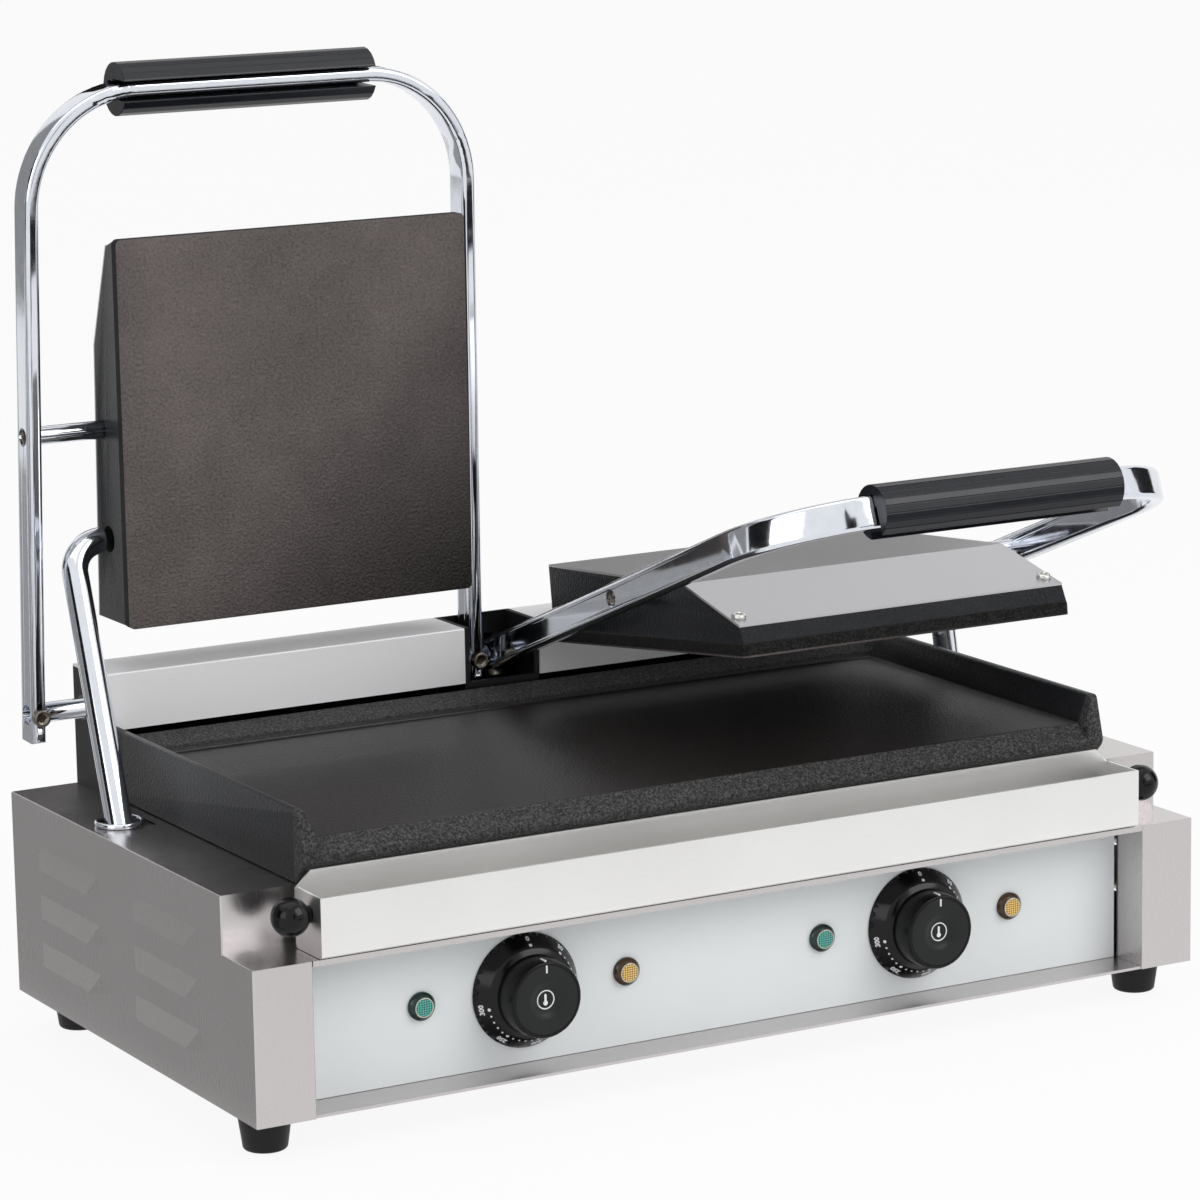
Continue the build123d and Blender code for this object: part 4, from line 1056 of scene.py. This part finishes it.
@dataclass
class Lid:
    """One lid: the U-shaped handle with its grip, and the upper plate that it carries."""

    shop: Workshop
    skin: Finishes
    side: Side
    arm_angle: float
    plate_angle: float
    grip_middle: float
    hinge_y: float = 290.0
    hinge_z: float = 175.5
    pivot_reach: float = 152.4
    pivot_height: float = 30.1
    grip_reach: float = 335.0
    grip_length: float = 149.0
    grip_radius: float = 14.5
    grip_facets: int = 22
    bar_height: float = 17.6
    bar_thickness: float = 8.0
    seam_width: float = 0.32
    seam_depth: float = 0.4
    slot_edge: float = 0.6
    conduit_top: Point = (218.5, 280.88, 268.31)
    conduit_out: float = 253.5
    conduit_end: Point = (266.49, 196.95, 128.07)
    conduit_bend: float = 20.0
    conduit_radius: float = 7.15
    conduit_sides: int = 40
    bend_steps: int = 16
    collar_bore: float = 21.6
    plate_middle: float = 126.0
    grit_start: float = 0.7
    enamel_start: float = 6.8
    # Painted shade: the face darkens from its middle towards its lower right, over this width.
    shade_lean: tuple[float, float] = (0.75, -0.66)
    shade_width: float = 160.0

    def arm_place(self) -> Matrix:
        """Gives the hinge's place, with y back along the arm and z off its upper side."""
        hinge = Matrix.Translation(self.shop.point(0, self.hinge_y, self.hinge_z))
        return hinge @ Matrix.Rotation(math.radians(-self.arm_angle), 4, "X")

    def slot_block(self, low: float, high: float, under: float, over: float) -> bpy.types.Object:
        """Makes a block that cuts part of the grip's slot.

        Args:
            low: Start of the block along the arm, from the bar's middle.
            high: End of the block along the arm.
            under: Start of the block across the arm.
            over: End of the block across the arm.

        Returns:
            The cutting block, round the lying grip.
        """
        middle = Matrix.Translation((0, (low + high) / 2 * MM, (under + over) / 2 * MM))
        return bar("slot", (self.grip_length + 4, high - low, over - under), middle)

    def grip(self) -> None:
        """Builds the faceted sleeve, cuts its slot and puts it on the top bar."""
        turn = Matrix.Rotation(math.radians(90.0), 4, "Y")
        bpy.ops.object.select_all(action="DESELECT")
        bpy.ops.mesh.primitive_cylinder_add(
            vertices=self.grip_facets, radius=self.grip_radius * MM, depth=self.grip_length * MM)
        sleeve = bpy.context.active_object
        settle(sleeve, turn)
        bpy.ops.object.mode_set(mode="EDIT")
        bpy.ops.mesh.select_all(action="DESELECT")
        bpy.ops.object.mode_set(mode="OBJECT")
        mesh = sleeve.data
        for edge in mesh.edges:
            start, end = (mesh.vertices[index].co for index in edge.vertices)
            edge.select = abs(start.x - end.x) > self.grip_length * MM / 2
        bpy.ops.object.mode_set(mode="EDIT")
        bpy.ops.mesh.select_mode(type="EDGE")
        bpy.ops.mesh.bevel(offset=self.seam_width * MM, segments=1)
        bpy.ops.mesh.select_mode(type="FACE")
        sunk = {"value": -self.seam_depth * MM}
        bpy.ops.mesh.extrude_region_shrink_fatten(TRANSFORM_OT_shrink_fatten=sunk)
        bpy.ops.mesh.select_all(action="SELECT")
        bpy.ops.mesh.normals_make_consistent(inside=False)
        bpy.ops.object.mode_set(mode="OBJECT")
        half = self.bar_thickness / 2
        reach = self.grip_radius + 2
        cuts = (
            self.slot_block(-half - 0.1, half + 1.3, -reach, self.bar_height / 2 + 0.1),
            self.slot_block(-half - 1.3, half + 1.3, -reach, 2.0),
        )
        for index, cut in enumerate(cuts):
            opened = sleeve.modifiers.new(f"slot_{index}", "BOOLEAN")
            opened.operation = "DIFFERENCE"
            opened.object = cut
            bpy.context.view_layer.objects.active = sleeve
            bpy.ops.object.modifier_apply(modifier=opened.name)
            bpy.data.objects.remove(cut)
        rounding = sleeve.modifiers.new("rounding", "BEVEL")
        rounding.width = self.slot_edge * MM
        rounding.segments = 2
        rounding.limit_method = "ANGLE"
        rounding.angle_limit = math.radians(50.0)
        bpy.ops.object.modifier_apply(modifier=rounding.name)
        sleeve.name = self.side.word + "_grip_sleeve"
        along = Matrix.Translation((self.grip_middle * MM, -self.grip_reach * MM, 0))
        settle(sleeve, self.arm_place() @ along)
        self.shop.hand_in(sleeve, self.side.word + "_grip", self.skin.grip)

    def conduit(self) -> None:
        """Draws the bent conduit out of a ring: straight, spun round its elbow, and straight again."""
        side = self.side.value
        top, end = (
            self.shop.point(side * x, y, z) for x, y, z in (self.conduit_top, self.conduit_end))
        corner = Vector((side * self.conduit_out * MM, top.y, top.z))
        first = (corner - top).normalized()
        second = (end - corner).normalized()
        turn = first.angle(second)
        bend = self.conduit_bend * MM
        run_in = bend * math.tan(turn / 2.0)
        inward = (second - first * first.dot(second)).normalized()
        elbow = corner - first * run_in
        aim = first.to_track_quat("Z", "Y")
        bpy.ops.object.select_all(action="DESELECT")
        bpy.ops.mesh.primitive_circle_add(
            vertices=self.conduit_sides, radius=self.conduit_radius * MM, fill_type="NOTHING",
            location=top, rotation=aim.to_euler())
        tube = bpy.context.active_object
        tube.name = self.side.word + "_conduit_tube"
        bpy.ops.object.transform_apply(location=True, rotation=True, scale=True)
        bpy.ops.object.mode_set(mode="EDIT")
        bpy.ops.mesh.select_all(action="SELECT")
        bpy.ops.mesh.extrude_region_move(TRANSFORM_OT_translate={"value": elbow - top})
        bpy.ops.mesh.spin(
            steps=self.bend_steps, angle=-turn, center=elbow + inward * bend,
            axis=first.cross(inward))
        rest = (end - corner).length - run_in
        bpy.ops.mesh.extrude_region_move(TRANSFORM_OT_translate={"value": second * rest})
        bpy.ops.mesh.select_all(action="SELECT")
        bpy.ops.mesh.remove_doubles(threshold=MERGE_GAP)
        bpy.ops.mesh.fill_holes(sides=self.conduit_sides)
        bpy.ops.mesh.normals_make_consistent(inside=False)
        bpy.ops.object.mode_set(mode="OBJECT")
        bpy.ops.object.shade_smooth_by_angle(angle=math.radians(40.0))
        self.shop.hand_in(tube, self.side.word + "_conduit", self.skin.chrome)

    def collar(self) -> None:
        """Draws the rounded ring that the conduit slides through."""
        node = self.side.word + "_collar"
        low, high = (Vector(corner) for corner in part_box(node))
        bore = self.collar_bore / 2
        section = ((high.x - low.x) / MM / 2 - bore) / 2
        flat = Matrix.Diagonal((1.0, 1.0, (high.z - low.z) / MM / 2 / section, 1.0))
        place = Matrix.Translation((low + high) / 2) @ flat
        collar = ring(node + "_ring", bore + section, section, place, (64, 14))
        bpy.ops.object.shade_smooth()
        self.shop.hand_in(collar, node, self.skin.chrome)

    def iron(self) -> bpy.types.Material:
        """Makes the plate's iron: pebbled face with painted shade towards one corner, gritty band,
        enamelled sides.

        Returns:
            The material.
        """
        arm = math.radians(self.arm_angle)
        tilt = math.radians(self.plate_angle)
        inward = Vector((0, math.sin(tilt), math.cos(tilt)))
        pivot = self.shop.point(
            0,
            self.hinge_y - self.pivot_reach * math.cos(arm),
            self.hinge_z + self.pivot_reach * math.sin(arm),
        )
        face = pivot - inward * self.pivot_height * MM
        middle = pivot + Vector((self.side.value * self.plate_middle * MM, 0, 0))
        # Painted shade, darker towards the lower right of the upright face, where its sheen fades.
        aside, down = self.shade_lean
        shade_way = Vector((aside, down * inward.z, down * inward.y))
        zones = (
            IronZone(middle, shade_way, Coat.BURNT, self.shade_width * MM),
            IronZone(face + inward * self.grit_start * MM, inward, Coat.ROUGH),
            IronZone(face + inward * self.enamel_start * MM, inward, Coat.SMOOTH),
        )
        return SeasonedIron(self.side.word + "_upper_iron", zones).make()

    def build(self) -> None:
        """Builds the lid."""
        word = self.side.word
        for piece in ("handle", "lid_shaft", "pivot_rods"):
            self.shop.softened(f"{word}_{piece}", self.skin.chrome)
        self.shop.softened(word + "_upper_casting", self.iron(), 1.0)
        self.shop.dress((word + "_upper_cover",), self.skin.lid_sheet)
        self.shop.dress((word + "_upper_element",), self.skin.inner)
        self.shop.softened(word + "_handle_screws", self.skin.screws)
        self.shop.softened(word + "_cover_screws", self.skin.zinc)
        self.grip()
        self.conduit()
        self.collar()


@dataclass
class Studio:
    """Floor, sky, lamps, grey cards and camera."""

    shop: Workshop
    camera_place: Point = (-1240.9, -2047.5, 729.9)
    turn: float = -29.438
    down: float = 11.198
    roll: float = -0.994
    lens: float = 142.6
    floor_colour: Colour = (0.86, 0.86, 0.86)
    floor_glow: float = 0.9
    sky_light: float = 0.55
    lamp_aim: Point = (0.0, 0.0, 0.2)
    card_aim: Point = (0.0, 0.0, 0.25)

    def build(self) -> None:
        """Sets up everything round the object."""
        self.floor()
        self.world()
        self.lamps()
        self.cards()
        self.camera()

    def staged_plane(self, name: str, size: Sequence[float], place: Matrix) -> bpy.types.Object:
        """Adds a flat stage piece.

        Args:
            name: The piece's name.
            size: Its width and depth in metres.
            place: Where its middle goes.

        Returns:
            The piece.
        """
        bpy.ops.object.select_all(action="DESELECT")
        bpy.ops.mesh.primitive_plane_add(size=1.0)
        plane = bpy.context.active_object
        plane.name = name
        plane.data.transform(place @ Matrix.Diagonal((size[0], size[1], 1.0, 1.0)))
        return plane

    def floor(self) -> None:
        """Lays a floor that shows white to the camera and keeps the object's shadow."""
        plane = self.staged_plane("floor", (60.0, 60.0), Matrix.Translation((0, 0, -0.0002)))
        recipe = Recipe("pale_floor")
        recipe.set(Base_Color=self.floor_colour, Roughness=0.7)
        glow = recipe.node("ShaderNodeEmission")
        path = recipe.node("ShaderNodeLightPath")
        seen = recipe.node("ShaderNodeMath", operation="MAXIMUM")
        share = recipe.node("ShaderNodeMath", operation="MULTIPLY")
        share.inputs[1].default_value = self.floor_glow
        mixed = recipe.node("ShaderNodeMixShader")
        recipe.wire(path.outputs["Is Camera Ray"], seen.inputs[0])
        recipe.wire(path.outputs["Is Glossy Ray"], seen.inputs[1])
        recipe.wire(seen.outputs[0], share.inputs[0])
        recipe.wire(share.outputs[0], mixed.inputs[0])
        recipe.wire(recipe.shader.outputs[0], mixed.inputs[1])
        recipe.wire(glow.outputs[0], mixed.inputs[2])
        recipe.surface(mixed.outputs[0])
        plane.data.materials.append(recipe.material)

    def world(self) -> None:
        """Surrounds the scene with an even sky that is white where it shows."""
        world = bpy.data.worlds.new("studio")
        bpy.context.scene.world = world
        world.use_nodes = True
        tree = world.node_tree
        background = tree.nodes["Background"]
        path = tree.nodes.new("ShaderNodeLightPath")
        shown = path.outputs["Is Camera Ray"]
        for ray in ("Is Transmission Ray", "Is Glossy Ray"):
            either = tree.nodes.new("ShaderNodeMath")
            either.operation = "MAXIMUM"
            tree.links.new(shown, either.inputs[0])
            tree.links.new(path.outputs[ray], either.inputs[1])
            shown = either.outputs[0]
        strength = tree.nodes.new("ShaderNodeMapRange")
        strength.inputs["To Min"].default_value = self.sky_light
        strength.inputs["To Max"].default_value = 1.0
        tree.links.new(shown, strength.inputs["Value"])
        background.inputs["Color"].default_value = (1.0, 1.0, 1.0, 1.0)
        tree.links.new(strength.outputs["Result"], background.inputs["Strength"])

    def lamps(self) -> None:
        """Hangs soft panels of light round the object."""
        for name, place, power, size in (
            ("key", (1.4, -2.2, 2.0), 40.0, 2.0),
            ("top", (-0.2, 0.3, 2.6), 14.0, 2.6),
            ("fill", (-2.6, -1.0, 1.2), 12.0, 1.6),
        ):
            data = bpy.data.lights.new(name, "AREA")
            data.energy = power
            data.size = size
            lamp = bpy.data.objects.new(name, data)
            bpy.context.scene.collection.objects.link(lamp)
            lamp.location = place
            aim = Vector(self.lamp_aim) - Vector(place)
            lamp.rotation_euler = aim.to_track_quat("-Z", "Y").to_euler()

    def card_finish(self, level: float) -> bpy.types.Material:
        """Makes the finish of a grey card that glows evenly.

        Args:
            level: How bright the card is, where 1 is white.

        Returns:
            The material.
        """
        recipe = Recipe("grey_card")
        glow = recipe.node("ShaderNodeEmission")
        glow.inputs["Strength"].default_value = level
        recipe.surface(glow.outputs[0])
        return recipe.material

    def cards(self) -> None:
        """Stands grey cards round the object that only its glossy surfaces see."""
        for name, place, size, level in (
            ("card_left_floor", (-1.20, 0.95, 0.004), (1.8, 2.1), 0.35),
            ("card_left_back", (-1.8, 1.9, 1.1), (2.8, 2.2), 0.30),
            ("card_back", (0.95, 2.4, 0.85), (1.6, 1.0), 0.01),
            ("card_right", (2.1, -0.2, 0.5), (0.9, 1.6), 0.02),
            ("card_left", (-2.3, 0.2, 0.9), (1.0, 1.6), 0.01),
            ("card_low_front", (-0.35, -2.9, 0.9), (0.5, 1.5), 0.01),
            ("card_front_floor", (0.75, -1.6, 0.004), (1.3, 1.4), 0.02),
            ("card_above", (0.3, 1.0, 2.2), (3.0, 1.0), 0.5),
        ):
            turn = Matrix.Identity(4)
            if not name.endswith("floor"):
                aim = Vector(self.card_aim) - Vector(place)
                turn = aim.to_track_quat("Z", "Y").to_matrix().to_4x4()
            card = self.staged_plane(name, size, Matrix.Translation(place) @ turn)
            card.data.materials.append(self.card_finish(level))
            card.visible_camera = False
            card.visible_diffuse = False
            card.visible_shadow = False
            card.visible_transmission = False

    def camera(self) -> None:
        """Places the camera at the photograph's viewpoint."""
        yaw, pitch, roll = (math.radians(angle) for angle in (self.turn, self.down, self.roll))
        level = Vector((-math.sin(yaw), math.cos(yaw), 0.0))
        ahead = level * math.cos(pitch) - Vector((0.0, 0.0, math.sin(pitch)))
        right = Vector((math.cos(yaw), math.sin(yaw), 0.0))
        up = right.cross(ahead)
        turned_right = math.cos(roll) * right + math.sin(roll) * up
        turned_up = math.cos(roll) * up - math.sin(roll) * right
        data = bpy.data.cameras.new("camera")
        data.lens = self.lens
        data.sensor_width = 36.0
        data.clip_start = 0.05
        data.clip_end = 100.0
        camera = bpy.data.objects.new("camera", data)
        bpy.context.scene.collection.objects.link(camera)
        basis = Matrix((turned_right, turned_up, -ahead)).transposed().to_4x4()
        camera.matrix_world = Matrix.Translation(self.shop.point(*self.camera_place)) @ basis
        bpy.context.scene.camera = camera


def main() -> None:
    """Builds the grill sub-assembly by sub-assembly, and the studio round it."""
    logging.basicConfig(level=logging.INFO, format="%(name)s: %(message)s")
    shop = Workshop.opened()
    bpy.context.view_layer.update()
    bpy.context.scene.view_settings.view_transform = "Standard"
    skin = Finishes()
    Studio(shop).build()
    Housing(shop, skin).build()
    DripTray(shop, skin).build()
    LowerPlate(shop, skin).build()
    for side in Side:
        Dial(shop, skin, side).build()
    for node, x, shade, lens in (
        ("left_green_lens", -180.0, skin.green_shade, skin.green),
        ("left_amber_lens", -60.0, skin.amber_shade, skin.amber),
        ("right_green_lens", 60.0, skin.green_shade, skin.green),
        ("right_amber_lens", 180.0, skin.amber_shade, skin.amber),
    ):
        Lamp(shop, node, x, shade, lens, skin.lens_edge_highlight).build()
    Lid(shop, skin, Side.LEFT, arm_angle=88.0, plate_angle=90.0, grip_middle=-144.4).build()
    Lid(
        shop, skin, Side.RIGHT, arm_angle=21.3, plate_angle=7.3, grip_middle=137.9,
        conduit_top=(218.5, 206.55, 219.53), conduit_end=(266.49, 192.59, 56.69)).build()


if __name__ == "__main__":
    main()
